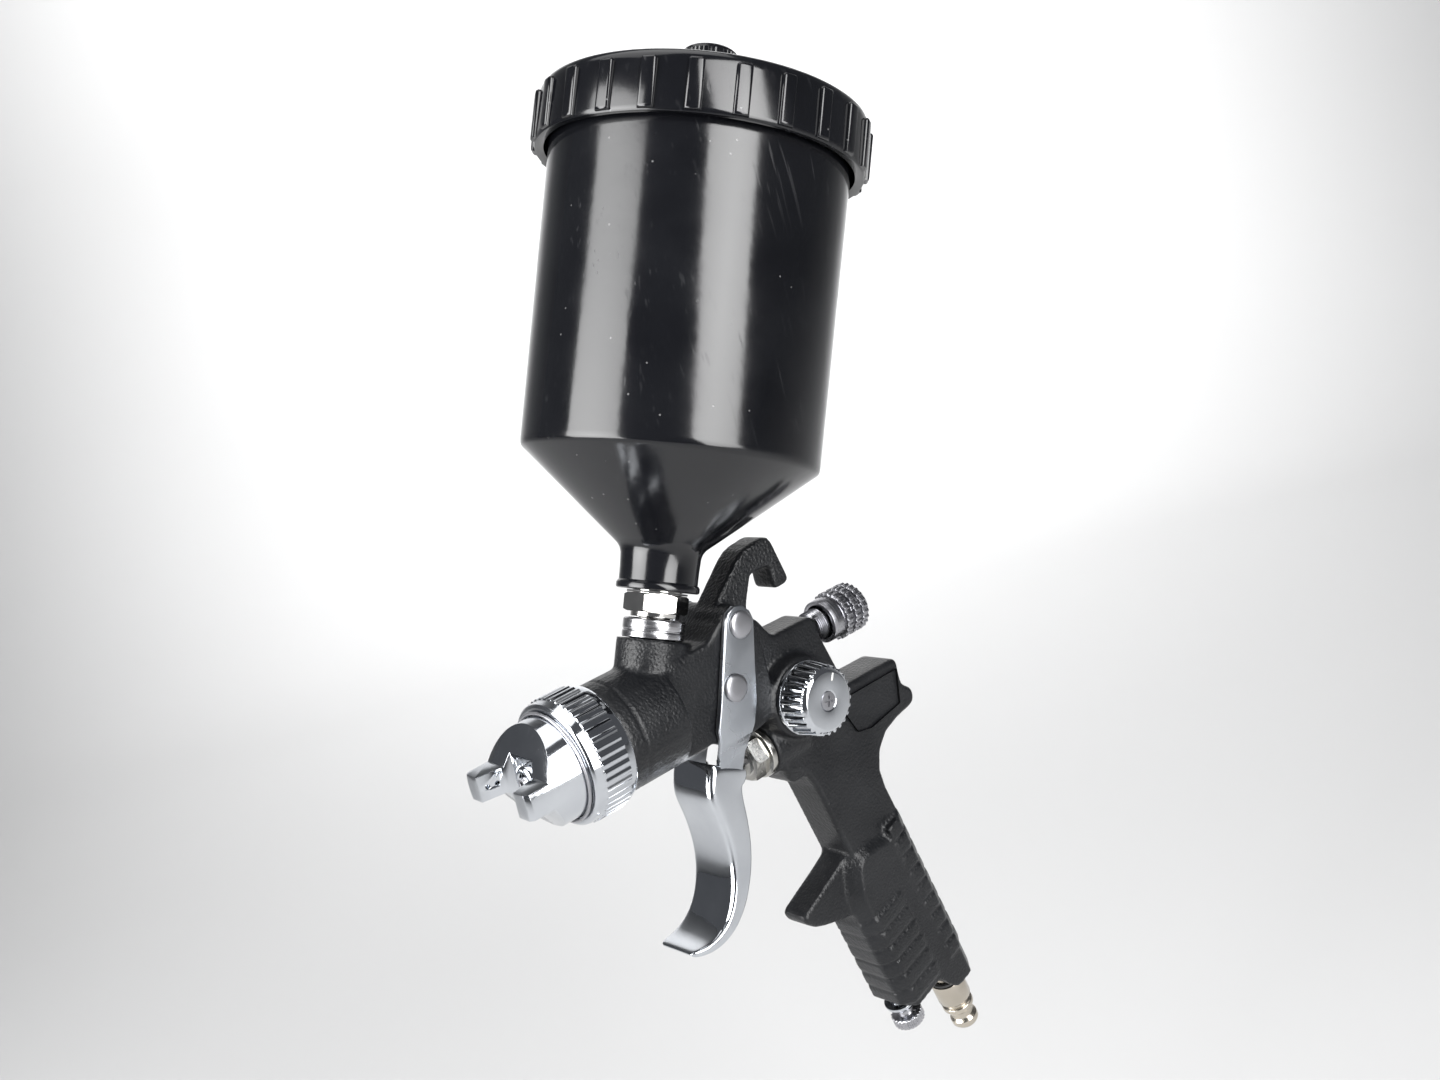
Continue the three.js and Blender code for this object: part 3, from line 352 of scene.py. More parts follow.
CASTING = coated_casting()
GLOSS = gloss_moulding()
CHROME = plating("Bright chrome", (0.62, 0.64, 0.67), (0.52, 0.54, 0.57), 0.05, 0.11)
STRAP = plating("Satin plated strap", (0.46, 0.48, 0.51), (0.38, 0.40, 0.43), 0.24, 0.34, 0.6)
PIN = turned_metal("Satin steel pin", (0.42, 0.42, 0.44), (0.32, 0.32, 0.34), Y, 0.28, 0.42)
NICKEL = plating("Warm satin nickel", (0.60, 0.55, 0.47), (0.46, 0.42, 0.36), 0.18, 0.30)
NUT = plating("Grey satin nickel", (0.50, 0.49, 0.46), (0.36, 0.35, 0.33), 0.14, 0.26)
HEX_NICKEL = plating("Bright nickel", (0.60, 0.59, 0.57), (0.46, 0.45, 0.43), 0.09, 0.17)
STEEL_X = turned_metal("Turned steel along the barrel", (0.42, 0.42, 0.44), (0.28, 0.28, 0.30), X,
                       0.2, 0.34)
STEEL_CUP = turned_metal("Turned steel under the cup", (0.54, 0.54, 0.55), (0.40, 0.40, 0.42),
                         CUP_AXIS, 0.16, 0.28)
STEEL_GRIP = turned_metal("Turned steel under the grip", (0.44, 0.44, 0.46), (0.32, 0.32, 0.34),
                          DOWN_HANDLE, 0.2, 0.32)
BRASS = turned_metal("Turned brass", (0.78, 0.60, 0.33), (0.62, 0.45, 0.22), X, 0.22, 0.36)
SEALS = moulded("Seal rubber", (0.05, 0.05, 0.05), (0.03, 0.03, 0.03), 0.5, 0.65)
MESH_PLASTIC = moulded("Strainer plastic", (0.8, 0.8, 0.76), (0.7, 0.7, 0.66), 0.4, 0.5)


# ---- Mesh building blocks ----
def sharp_edges(bm, degrees):
    limit = math.radians(degrees)
    return [e for e in bm.edges if len(e.link_faces) == 2 and e.calc_face_angle(0) > limit]


def ease(bm, width, degrees=28, segments=2):
    """Rounds off every edge that turns by more than the angle."""
    edges = sharp_edges(bm, degrees)
    bmesh.ops.bevel(bm, geom=edges, offset=width * MM, offset_type="OFFSET", segments=segments,
                    profile=0.5, affect="EDGES", clamp_overlap=True, material=-1)


def piece(bm, name, body, nodes, look, crease=34):
    """Makes the mesh an object in its place, riding its body and standing for its CAD nodes."""
    bmesh.ops.recalc_face_normals(bm, faces=bm.faces)
    for face in bm.faces:
        face.smooth = True
    for edge in sharp_edges(bm, crease):
        edge.smooth = False
    mesh = bpy.data.meshes.new(name)
    bm.to_mesh(mesh)
    bm.free()
    mesh.materials.append(look)
    made = bpy.data.objects.new(name, mesh)
    bpy.context.scene.collection.objects.link(made)
    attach(made, body)
    if nodes:
        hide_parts(*nodes)
    return made


def spun(profile, line, segments=96, closed=False):
    """A round shape from (radius, distance along the line) points in millimetres."""
    start, axis = line
    side = axis.orthogonal().normalized()
    bm = bmesh.new()
    verts = [bm.verts.new(start + side * r * MM + axis * h * MM) for r, h in profile]
    pairs = list(zip(verts, verts[1:] + verts[:1])) if closed else list(zip(verts, verts[1:]))
    edges = [bm.edges.new(pair) for pair in pairs]
    bmesh.ops.spin(bm, geom=verts + edges, cent=start, axis=axis, angle=2 * math.pi, steps=segments,
                   use_merge=True)
    bmesh.ops.remove_doubles(bm, verts=bm.verts, dist=1e-6)
    bmesh.ops.recalc_face_normals(bm, faces=bm.faces)
    return bm


def around(line, co):
    """(radius, distance along, angle) of a point about a line, in millimetres and turns."""
    start, axis = line
    side = axis.orthogonal().normalized()
    other = axis.cross(side)
    offset = co - start
    return (offset - axis * offset.dot(axis)).length / MM, offset.dot(axis) / MM, math.atan2(
        offset.dot(other), offset.dot(side)) / (2 * math.pi)


def flute(bm, line, low, high, inner, count, depth, width=0.5):
    """Raises `count` rounded teeth by `depth` on the rim between two distances along the line."""
    start, axis = line
    for vert in bm.verts:
        r, h, turn = around(line, vert.co)
        if r < inner or not low <= h <= high:
            continue
        phase = (turn * count) % 1.0
        rise = 0.0
        if abs(phase - 0.5) < width / 2:
            rise = max(0.0, math.cos(math.pi * (phase - 0.5) / width))
        foot = start + axis * h * MM
        vert.co = foot + (vert.co - foot) * (r + depth * rise ** 0.6) / r


def round_piece(name, body, nodes, look, profile, line, segments=96, closed=False, edge=0.2,
                teeth=()):
    bm = spun(profile, line, segments, closed)
    for low, high, inner, count, depth, width in teeth:
        flute(bm, line, low, high, inner, count, depth, width)
    if edge:
        ease(bm, edge, 30)
    piece(bm, name, body, nodes, look)


def bar(bm, low, high, place):
    """A block between two corners, put in place by a function of its corner points."""
    made = bmesh.ops.create_cube(bm, size=1.0)["verts"]
    for vert in made:
        share = vert.co + Vector((0.5, 0.5, 0.5))
        vert.co = place(*(l + (h - l) * s for l, h, s in zip(low, high, share)))


def cylinder(bm, line, low, high, radius, segments=48):
    """A plain rod as part of a larger mesh."""
    start, axis = line
    turn = Z.rotation_difference(axis).to_matrix().to_4x4()
    middle = start + axis * (low + high) / 2 * MM
    bmesh.ops.create_cone(bm, cap_ends=True, segments=segments, radius1=radius * MM,
                          radius2=radius * MM, depth=(high - low) * MM,
                          matrix=Matrix.Translation(middle) @ turn)


def applied(made):
    """Applies the modifiers of an object to its mesh."""
    bpy.context.view_layer.update()
    graph = bpy.context.evaluated_depsgraph_get()
    mesh = bpy.data.meshes.new_from_object(made.evaluated_get(graph))
    mesh.materials.clear()
    for material in made.data.materials:
        mesh.materials.append(material)
    made.modifiers.clear()
    made.data = mesh


def tool(bm, name):
    """A cutting shape, to be removed after its cut."""
    bmesh.ops.recalc_face_normals(bm, faces=bm.faces)
    mesh = bpy.data.meshes.new(name)
    bm.to_mesh(mesh)
    bm.free()
    made = bpy.data.objects.new(name, mesh)
    bpy.context.scene.collection.objects.link(made)
    return made


def cut(made, cutters):
    for cutter in cutters:
        modifier = made.modifiers.new("cut", "BOOLEAN")
        modifier.operation = "DIFFERENCE"
        modifier.solver = "EXACT"
        modifier.object = cutter
    applied(made)
    for cutter in cutters:
        bpy.data.objects.remove(cutter)


def shade(made, degrees=34):
    bm = bmesh.new()
    bm.from_mesh(made.data)
    for face in bm.faces:
        face.smooth = True
    for edge in bm.edges:
        edge.smooth = True
    for edge in sharp_edges(bm, degrees):
        edge.smooth = False
    bm.to_mesh(made.data)
    bm.free()
    made.data.update()


# ---- Cast body ----
def grip_block(bm, down, height, inner, corner, edge):
    """One raised block of the grip, wrapped from flank to flank round its back or front edge."""
    half = [(inner, 10.7), (corner, 10.7), (edge, 6.5)]
    outline = half + [(forward, -y) for forward, y in reversed(half)]
    face = bm.faces.new([bm.verts.new(grip_point(forward, down, y)) for forward, y in outline])
    grown = bmesh.ops.extrude_face_region(bm, geom=[face])
    far = [v for v in grown["geom"] if isinstance(v, bmesh.types.BMVert)]
    bmesh.ops.translate(bm, vec=DOWN_HANDLE * height * MM, verts=far)


def cast_body():
    """The casting: the CAD body and its mouldings, melted together and softened."""
    bm = bmesh.new()
    bm.from_mesh(frame["nodes"]["gun_body"].data)
    bmesh.ops.remove_doubles(bm, verts=bm.verts, dist=1e-6)
    for i in range(REAR_GRIP_BLOCKS):
        grip_block(bm, 10.5 + REAR_BLOCK_PITCH * i, 5.2, 12.4, 6.8, 2.4)
    for i in range(FRONT_GRIP_BLOCKS):
        grip_block(bm, 32.5 + FRONT_BLOCK_PITCH * i, 5.0, 19.5, 33.2, 37.6)
    bmesh.ops.recalc_face_normals(bm, faces=bm.faces)
    mesh = bpy.data.meshes.new("gun_body")
    bm.to_mesh(mesh)
    bm.free()
    made = bpy.data.objects.new("gun_body", mesh)
    bpy.context.scene.collection.objects.link(made)
    melt = made.modifiers.new("melt", "REMESH")
    melt.mode = "VOXEL"
    melt.voxel_size = CASTING_VOXEL * MM
    soften = made.modifiers.new("soften", "SMOOTH")
    soften.factor = 0.5
    soften.iterations = 3
    applied(made)
    for vert in made.data.vertices:
        radius, back = around(NOZZLE, vert.co)[:2]
        if abs(back - GROOVE_BEHIND_FRONT) < 0.5 and abs(radius - 17.3) < 0.7:
            foot = NOZZLE[0] + NOZZLE[1] * back * MM
            vert.co = foot + (vert.co - foot) * (radius - 0.4) / radius
    for polygon in made.data.polygons:
        polygon.use_smooth = True
    made.data.materials.clear()
    made.data.materials.append(CASTING)
    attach(made, "gun")
    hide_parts("gun_body")


def tail_panel():
    """The raised frame round the plain recess on each side of the tail."""
    for side, name in ((-1, "near_tail_panel"), (1, "far_tail_panel")):
        bm = bmesh.new()
        corners = [(86, -24.3), (115.3, -24.6), (113.2, -36.3), (98, -38.6), (92, -37.4)]
        verts = [bm.verts.new(at(x, z, side * 7.6)) for x, z in corners]
        face = bm.faces.new(verts)
        ring = bmesh.ops.inset_individual(bm, faces=[face], thickness=1.3 * MM)
        bmesh.ops.delete(bm, geom=[face], context="FACES")
        walls = bmesh.ops.extrude_face_region(bm, geom=ring["faces"])
        bmesh.ops.translate(bm, vec=(0, side * 1.0 * MM, 0),
                            verts=[v for v in walls["geom"] if isinstance(v, bmesh.types.BMVert)])
        bmesh.ops.recalc_face_normals(bm, faces=bm.faces)
        ease(bm, 0.3, 30)
        piece(bm, name, "gun", [], CASTING)


# ---- Nozzle end ----
def air_cap():
    bm = spun([(0, -35.8), (14.6, -35.8), (15.8, -34.6), (15.8, -13.2), (16.9, -13), (16.9, -10.8),
               (13.4, -10.8), (13.4, -15), (6.6, -22.3), (2.7, -23.4), (2.7, -29)], NOZZLE, 128)
    bmesh.ops.contextual_create(bm, geom=[e for e in bm.edges if e.is_boundary])
    turn = Matrix.Rotation(math.radians(4), 4, "X")

    def turned_at(x, y, z):
        return BARREL + turn @ (Vector((x, y, z)) * MM)

    made = piece(bm, "air_cap", "cap", ["air_cap"], CHROME)
    cutters = []
    for side in (-1, 1):
        wedge = bmesh.new()
        outline = [(-40, 3.9), (-27.7, 3.9), (-20.9, 16.2), (-20.9, 30), (-40, 30)]
        verts = [wedge.verts.new(turned_at(x, -30, side * z)) for x, z in outline]
        face = wedge.faces.new(verts)
        grown = bmesh.ops.extrude_face_region(wedge, geom=[face])
        far = [v for v in grown["geom"] if isinstance(v, bmesh.types.BMVert)]
        bmesh.ops.translate(wedge, vec=turned_at(0, 60, 0) - turned_at(0, 0, 0), verts=far)
        cutters.append(tool(wedge, "wedge"))
    gap = bmesh.new()
    outline = [(-37, -9.6), (-28.5, -7.6), (-25.5, -5.6), (-25.5, 5.6), (-28.5, 7.6), (-37, 9.6)]
    verts = [gap.verts.new(turned_at(x, y, -12)) for x, y in outline]
    grown = bmesh.ops.extrude_face_region(gap, geom=[gap.faces.new(verts)])
    far = [v for v in grown["geom"] if isinstance(v, bmesh.types.BMVert)]
    bmesh.ops.translate(gap, vec=turned_at(0, 0, 24) - turned_at(0, 0, 0), verts=far)
    cutters.append(tool(gap, "gap"))
    for side in (-1, 1):
        for x in (-33.1, -30):
            hole = bmesh.new()
            into = (turned_at(0.35, side, 0) - turned_at(0, 0, 0)).normalized()
            cylinder(hole, (turned_at(x, side * 9.0, 0), into), -3.2, 2.4, 0.7, 24)
            cutters.append(tool(hole, "hole"))
    for z in (5.6, -5.6):
        dot = bmesh.new()
        cylinder(dot, (turned_at(0, 0, z), X), -30, -23, 0.45, 16)
        cutters.append(tool(dot, "dot"))
    cut(made, cutters)
    soft = made.modifiers.new("edges", "BEVEL")
    soft.width = 0.28 * MM
    soft.segments = 2
    soft.limit_method = "ANGLE"
    soft.angle_limit = math.radians(25)
    soft.use_clamp_overlap = True
    applied(made)
    shade(made, 30)


def nozzle_end():
    round_piece("fluid_nozzle_tip", "gun", ["fluid_nozzle"], STEEL_X,
                [(0.75, -27.5), (1.6, -27.5), (2.2, -21), (5.4, -18), (6.2, -14.4), (7.0, -14.2),
                 (7.0, -11.9), (4.2, -11.9), (4.2, 13), (2.1, 13), (2.1, -19.5), (0.75, -26)],
                NOZZLE, 48, True, 0.12)
    segments = RING_TEETH * 6
    ring = [(16.1, -15), (16.8, -15.6), (18.0, -15.6), (18.75, -14.9), (18.9, -12.6), (19.0, -12.4)]
    ring += [(19.0, -12.2), (19.0, -3.4), (19.0, -3.2), (18.9, -1.7), (18.5, -0.7), (17.2, -0.7),
             (17.2, -13.3), (16.1, -13.3)]
    round_piece("air_cap_ring", "cap_ring", ["air_cap_ring"], CHROME, ring, NOZZLE,
                segments, True, 0.12, [(-12.25, -3.35, 18.5, RING_TEETH, 0.5, 0.7)])


def cap_dome():
    """The low rounded ring of the air cap round the nozzle's tip."""
    round_piece("air_cap_dome", "cap", [], CHROME,
                [(2.75, -25.2), (2.75, -26.2), (3.1, -26.6), (3.7, -26.65), (4.3, -26.4),
                 (4.8, -25.9), (5.0, -25.2)], NOZZLE, 96, True, 0)


def cap_wire():
    turns = [2 * math.pi * i / 12 for i in range(12)]
    wire = [(16.65 + 0.5 * math.cos(turn), -16.5 + 0.5 * math.sin(turn)) for turn in turns]
    round_piece("cap_wire_ring", "cap_ring", ["cap_wire_ring"], PIN, wire, NOZZLE,
                128, True, 0)


# ---- Needle and fluid adjuster ----
def fluid_adjuster():
    thread = []
    h = 88.8
    while h < 93.0:
        thread += [(4.8, h), (5.3, h + 0.37), (4.8, h + 0.75)]
        h += 0.78
    round_piece("fluid_sleeve", "gun", ["fluid_sleeve"], STEEL_X,
                [(3.3, 80), (3.7, 80), (3.7, 88.4)] + thread + [(4.8, 94), (3.3, 94)], NOZZLE, 64,
                True, 0)
    knob = [(5.9, 94.2), (7.2, 94.2), (7.4, 98.6), (6.8, 98.8), (6.8, 99.3), (7.9, 99.4),
            (7.9, 102.1), (6.9, 102.3), (6.9, 103.2), (7.9, 103.4), (7.9, 105.9), (7.2, 106.1),
            (7.2, 106.6), (7.9, 106.8), (7.9, 109.4), (7.2, 109.9), (6.6, 110.9), (2.4, 110.9),
            (2.4, 106), (5.9, 106)]
    bands = [(low, high, 7.5, FLUID_KNOB_TEETH, 0.45, 0.6)
             for low, high in ((99.35, 102.2), (103.3, 106.0), (106.7, 109.5))]
    round_piece("fluid_knob", "fluid_adjuster", ["fluid_knob"], STEEL_X, knob,
                NOZZLE, FLUID_KNOB_TEETH * 6, True, 0.1, bands)


# ---- Trigger ----
def trigger_channel():
    """The pressed channel under the straps: a curved front, two side walls and the forward curl."""
    front = [(30.4, -19.9), (28.6, -23.4), (27.0, -27.5), (26.4, -31.5), (27.4, -36.5), (28.3, -42),
             (28.5, -48), (27.9, -54), (26.2, -60), (23.6, -65), (20.0, -68.9), (15.6, -71.1),
             (10.8, -71.7), (6.2, -71.2)]
    wall = [14.6, 15.2, 14.4, 13.4, 11.6, 10.4, 9.2, 8.0, 6.6, 5.6, 4.6, 3.6, 2.8, 2.0]
    half = [10.0] * 9 + [10.0, 9.9, 9.7, 9.2, 7.6]
    bm = bmesh.new()
    shape = [(-1.0, 1.0), (-1.0, 0.5), (-1.0, 0.16), (-0.93, 0.04), (-0.8, 0.0), (-0.4, -0.012),
             (0.0, -0.016), (0.4, -0.012), (0.8, 0.0), (0.93, 0.04), (1.0, 0.16), (1.0, 0.5),
             (1.0, 1.0)]
    inward = []
    for i in range(len(front)):
        before = Vector(front[max(i - 1, 0)])
        after = Vector(front[min(i + 1, len(front) - 1)])
        along = (after - before).normalized()
        inward.append(Vector((-along.y, along.x)))
    verts = [bm.verts.new(Vector((0, 0, 0))) for _ in shape]
    edges = [bm.edges.new(pair) for pair in zip(verts, verts[1:])]

    def lay(row, i):
        for vert, (y, depth) in zip(row, shape):
            foot = Vector(front[i]) + inward[i] * (depth * wall[i])
            vert.co = at(foot.x, foot.y, y * half[i])

    lay(verts, 0)
    for i in range(1, len(front)):
        grown = bmesh.ops.extrude_edge_only(bm, edges=edges)["geom"]
        new = [g for g in grown if isinstance(g, bmesh.types.BMVert)]
        edges = [g for g in grown if isinstance(g, bmesh.types.BMEdge)]
        verts = [next(e.other_vert(v) for e in v.link_edges if e.other_vert(v) in new)
                 for v in verts]
        lay(verts, i)
    return bm


def trigger():
    made = piece(trigger_channel(), "trigger_channel", "trigger", [], CHROME, 180)
    thick = made.modifiers.new("sheet", "SOLIDIFY")
    thick.thickness = 1.9 * MM
    thick.offset = -1
    smooth = made.modifiers.new("pressing", "SUBSURF")
    smooth.levels = 3
    smooth.render_levels = 3
    for side, name in ((-1, "near_trigger_strap"), (1, "far_trigger_strap")):
        bm = bmesh.new()
        outline = [(31.4, -31), (33.2, -20), (33.4, -10), (36.7, -3), (44.7, 16), (46.2, 19.6),
                   (48.0, 22.2), (51.0, 23.4), (54.2, 22.6), (56.4, 20.0), (57.1, 17), (54.3, 7.0),
                   (50.4, -7.6), (46.5, -16), (44.8, -20), (38.6, -31)]
        verts = [bm.verts.new(at(x, z, side * CHEEK)) for x, z in outline]
        grown = bmesh.ops.extrude_face_region(bm, geom=[bm.faces.new(verts)])
        far = [v for v in grown["geom"] if isinstance(v, bmesh.types.BMVert)]
        bmesh.ops.translate(bm, vec=(0, side * 2 * MM, 0), verts=far)
        for level in range(-24, -12):
            bmesh.ops.bisect_plane(bm, geom=bm.verts[:] + bm.edges[:] + bm.faces[:],
                                   plane_co=at(0, level), plane_no=Z)
        for vert in bm.verts:
            down = min(max((SPRAY_HEIGHT - vert.co.z) / MM - 12.5, 0) / 10, 1)
            vert.co.y -= side * 3.5 * (3 * down ** 2 - 2 * down ** 3) * MM
        bmesh.ops.recalc_face_normals(bm, faces=bm.faces)
        ease(bm, 0.45, 50, 3)
        piece(bm, name, "trigger", ["trigger"], STRAP)


def pins():
    seat = PIN_SEAT
    head = [(0, -seat - 1.2), (1.6, -seat - 1.18), (3.2, -seat - 1.05), (3.9, -seat - 0.85),
            (4.25, -seat - 0.5), (4.3, -seat), (2.4, -seat)]
    tail = [(2.4, seat), (4.3, seat), (4.25, seat + 0.5), (3.9, seat + 0.85), (3.2, seat + 1.05),
            (1.6, seat + 1.18), (0, seat + 1.2)]
    round_piece("push_pin", "trigger", ["trigger_push_pin"], PIN, head + tail, PUSH,
                64, False, 0)
    round_piece("pivot_pin", "gun", ["trigger_pivot_pin"], PIN,
                head + [(2.4, seat - 0.2), (0, seat - 0.2)], PIVOT, 64, False, 0)
    round_piece("pivot_cap", "gun", ["trigger_pivot_cap"], PIN,
                [(0, seat + 0.1)] + [(r, h + 0.1) for r, h in tail[1:]], PIVOT, 64, False, 0)


# ---- Air valve ----
def hexagon(line, low, high, radius, chamfer):
    """A nut blank with its corners turned off at both ends."""
    bm = bmesh.new()
    cylinder(bm, line, low, high, radius, 6)
    made = tool(bm, "hexagon")
    middle = (low + high) / 2
    outer = spun([(0, low - 0.01), (radius * 0.9, low - 0.01), (radius * 1.02, low + chamfer),
                  (radius * 1.02, middle), (radius * 1.02, high - chamfer),
                  (radius * 0.9, high + 0.01), (0, high + 0.01)], line, 72)
    turned = tool(outer, "turned blank")
    modifier = made.modifiers.new("corners", "BOOLEAN")
    modifier.operation = "INTERSECT"
    modifier.solver = "EXACT"
    modifier.object = turned
    applied(made)
    bpy.data.objects.remove(turned)
    bm = bmesh.new()
    bm.from_mesh(made.data)
    bpy.data.objects.remove(made)
    bmesh.ops.remove_doubles(bm, verts=bm.verts, dist=1e-5)
    return bm


def air_valve():
    piece(hexagon(VALVE, 49, 54.6, 7.5, 0.9), "valve_nut_hexagon", "gun", [], NUT, 25)
    round_piece("valve_nut_collar", "gun", ["air_valve_nut"], NUT,
                [(1.7, 48.6), (4.6, 48.6), (5.4, 49.2), (5.4, 54.5), (8.3, 54.6), (8.3, 56.7),
                 (5.2, 56.7), (5.2, 65.8), (1.7, 65.8)], VALVE, 64, True, 0.2)
    round_piece("valve_stem", "air_valve", ["air_valve_stem"], STEEL_X,
                [(0, 28.9), (0.7, 29.0), (1.2, 29.3), (1.5, 29.9), (1.5, 68), (4.6, 68.1),
                 (4.6, 70), (0, 70)], VALVE, 32, False, 0)


# ---- Pattern adjuster ----
def pattern_knob():
    face = PATTERN_KNOB_FACE
    profile = [(0, face - 0.9), (1.9, face - 0.9), (3.4, face), (9.0, face), (9.7, face - 0.45),
               (10.2, face - 1.1), (10.3, face - 1.3), (11.2, 14.2), (11.25, 14.0), (11.5, 13.7),
               (11.9, 13.3), (11.9, 12.0), (5.4, 12.0), (5.4, 14), (0, 14)]
    round_piece("pattern_knob", "pattern_adjuster", ["pattern_knob"], CHROME, profile,
                FAN, PATTERN_KNOB_TEETH * 8, False, 0.12,
                [(13.9, 21.6, 9.8, PATTERN_KNOB_TEETH, 0.75, 0.62)])
    bm = spun([(0, face - 0.75), (2.3, face - 0.75), (3.0, face - 0.25), (2.9, face + 0.02),
               (1.6, face + 0.1), (0, face + 0.12)], FAN, 48)
    made = piece(bm, "pattern_knob_screw", "pattern_adjuster", ["pattern_knob_screw"],
                 PIN)
    start = FAN[0] + FAN[1] * face * MM
    turn = Matrix.Rotation(math.radians(20), 3, "Y")

    def on_screw(a, b, c):
        """A point of the screw's head: two ways across it, and out from the knob's face."""
        return start + turn @ (X * a + Z * b) * MM + FAN[1] * c * MM

    cutters = []
    for long_way, short_way in ((1.75, 0.38), (0.38, 1.75)):
        slot = bmesh.new()
        bar(slot, (-long_way, -short_way, -0.7), (long_way, short_way, 1.0), on_screw)
        cutters.append(tool(slot, "cross"))
    cut(made, cutters)
    shade(made, 30)
    mark = (X * 0.5 + Z * 0.87).normalized()
    across = mark.cross(FAN[1])
    bm = bmesh.new()
    bar(bm, (6.4, -0.3, -0.3), (8.8, 0.3, 0.06),
        lambda a, b, c: start + (mark * a + across * b + FAN[1] * c) * MM)
    piece(bm, "pattern_index_mark", "pattern_adjuster", [], MESH_PLASTIC)


# ---- Under the grip ----
def under_grip():
    base = REGULATOR_BASE
    round_piece("regulator_collar", "gun", ["regulator_collar"], CHROME,
                [(1.7, base - 8), (3.3, base - 8), (3.3, base + 0.3), (5.7, base + 0.3),
                 (5.7, base + 1.3), (3.9, base + 3.6), (1.7, base + 3.6)], REGULATOR, 64, True,
                0.15)
    round_piece("regulator_knob", "regulator", ["regulator_knob"], STEEL_GRIP,
                [(1.7, base + 3.9), (2.9, base + 3.9), (2.9, base + 6.3), (5.0, base + 6.4),
                 (5.3, base + 6.7), (5.3, base + 6.9), (5.3, base + 10.1), (5.0, base + 10.6),
                 (4.4, base + 10.7), (0, base + 10.7), (0, base + 7.4), (1.7, base + 7.4)],
                REGULATOR, REGULATOR_KNOB_TEETH * 6, False, 0.1,
                [(base + 6.65, base + 10.2, 5.1, REGULATOR_KNOB_TEETH, 0.4, 0.62)])
    b = PLUG_BASE
    plug = [(2.4, b - 12), (4.3, b - 12), (4.3, b), (6.1, b), (6.1, b + 8.6), (5.9, b + 9.0),
            (4.8, b + 9.6), (4.7, b + 10.8), (5.7, b + 11.2), (5.8, b + 12.6), (5.6, b + 13.1),
            (4.1, b + 14.2), (3.9, b + 14.8), (3.9, b + 16.8), (4.1, b + 17.3), (5.0, b + 18.0),
            (5.0, b + 20.1), (4.2, b + 21.2), (2.4, b + 21.2)]
    round_piece("air_inlet_plug", "gun", ["air_inlet_plug"], NICKEL, plug, INLET, 96,
                True, 0.2)


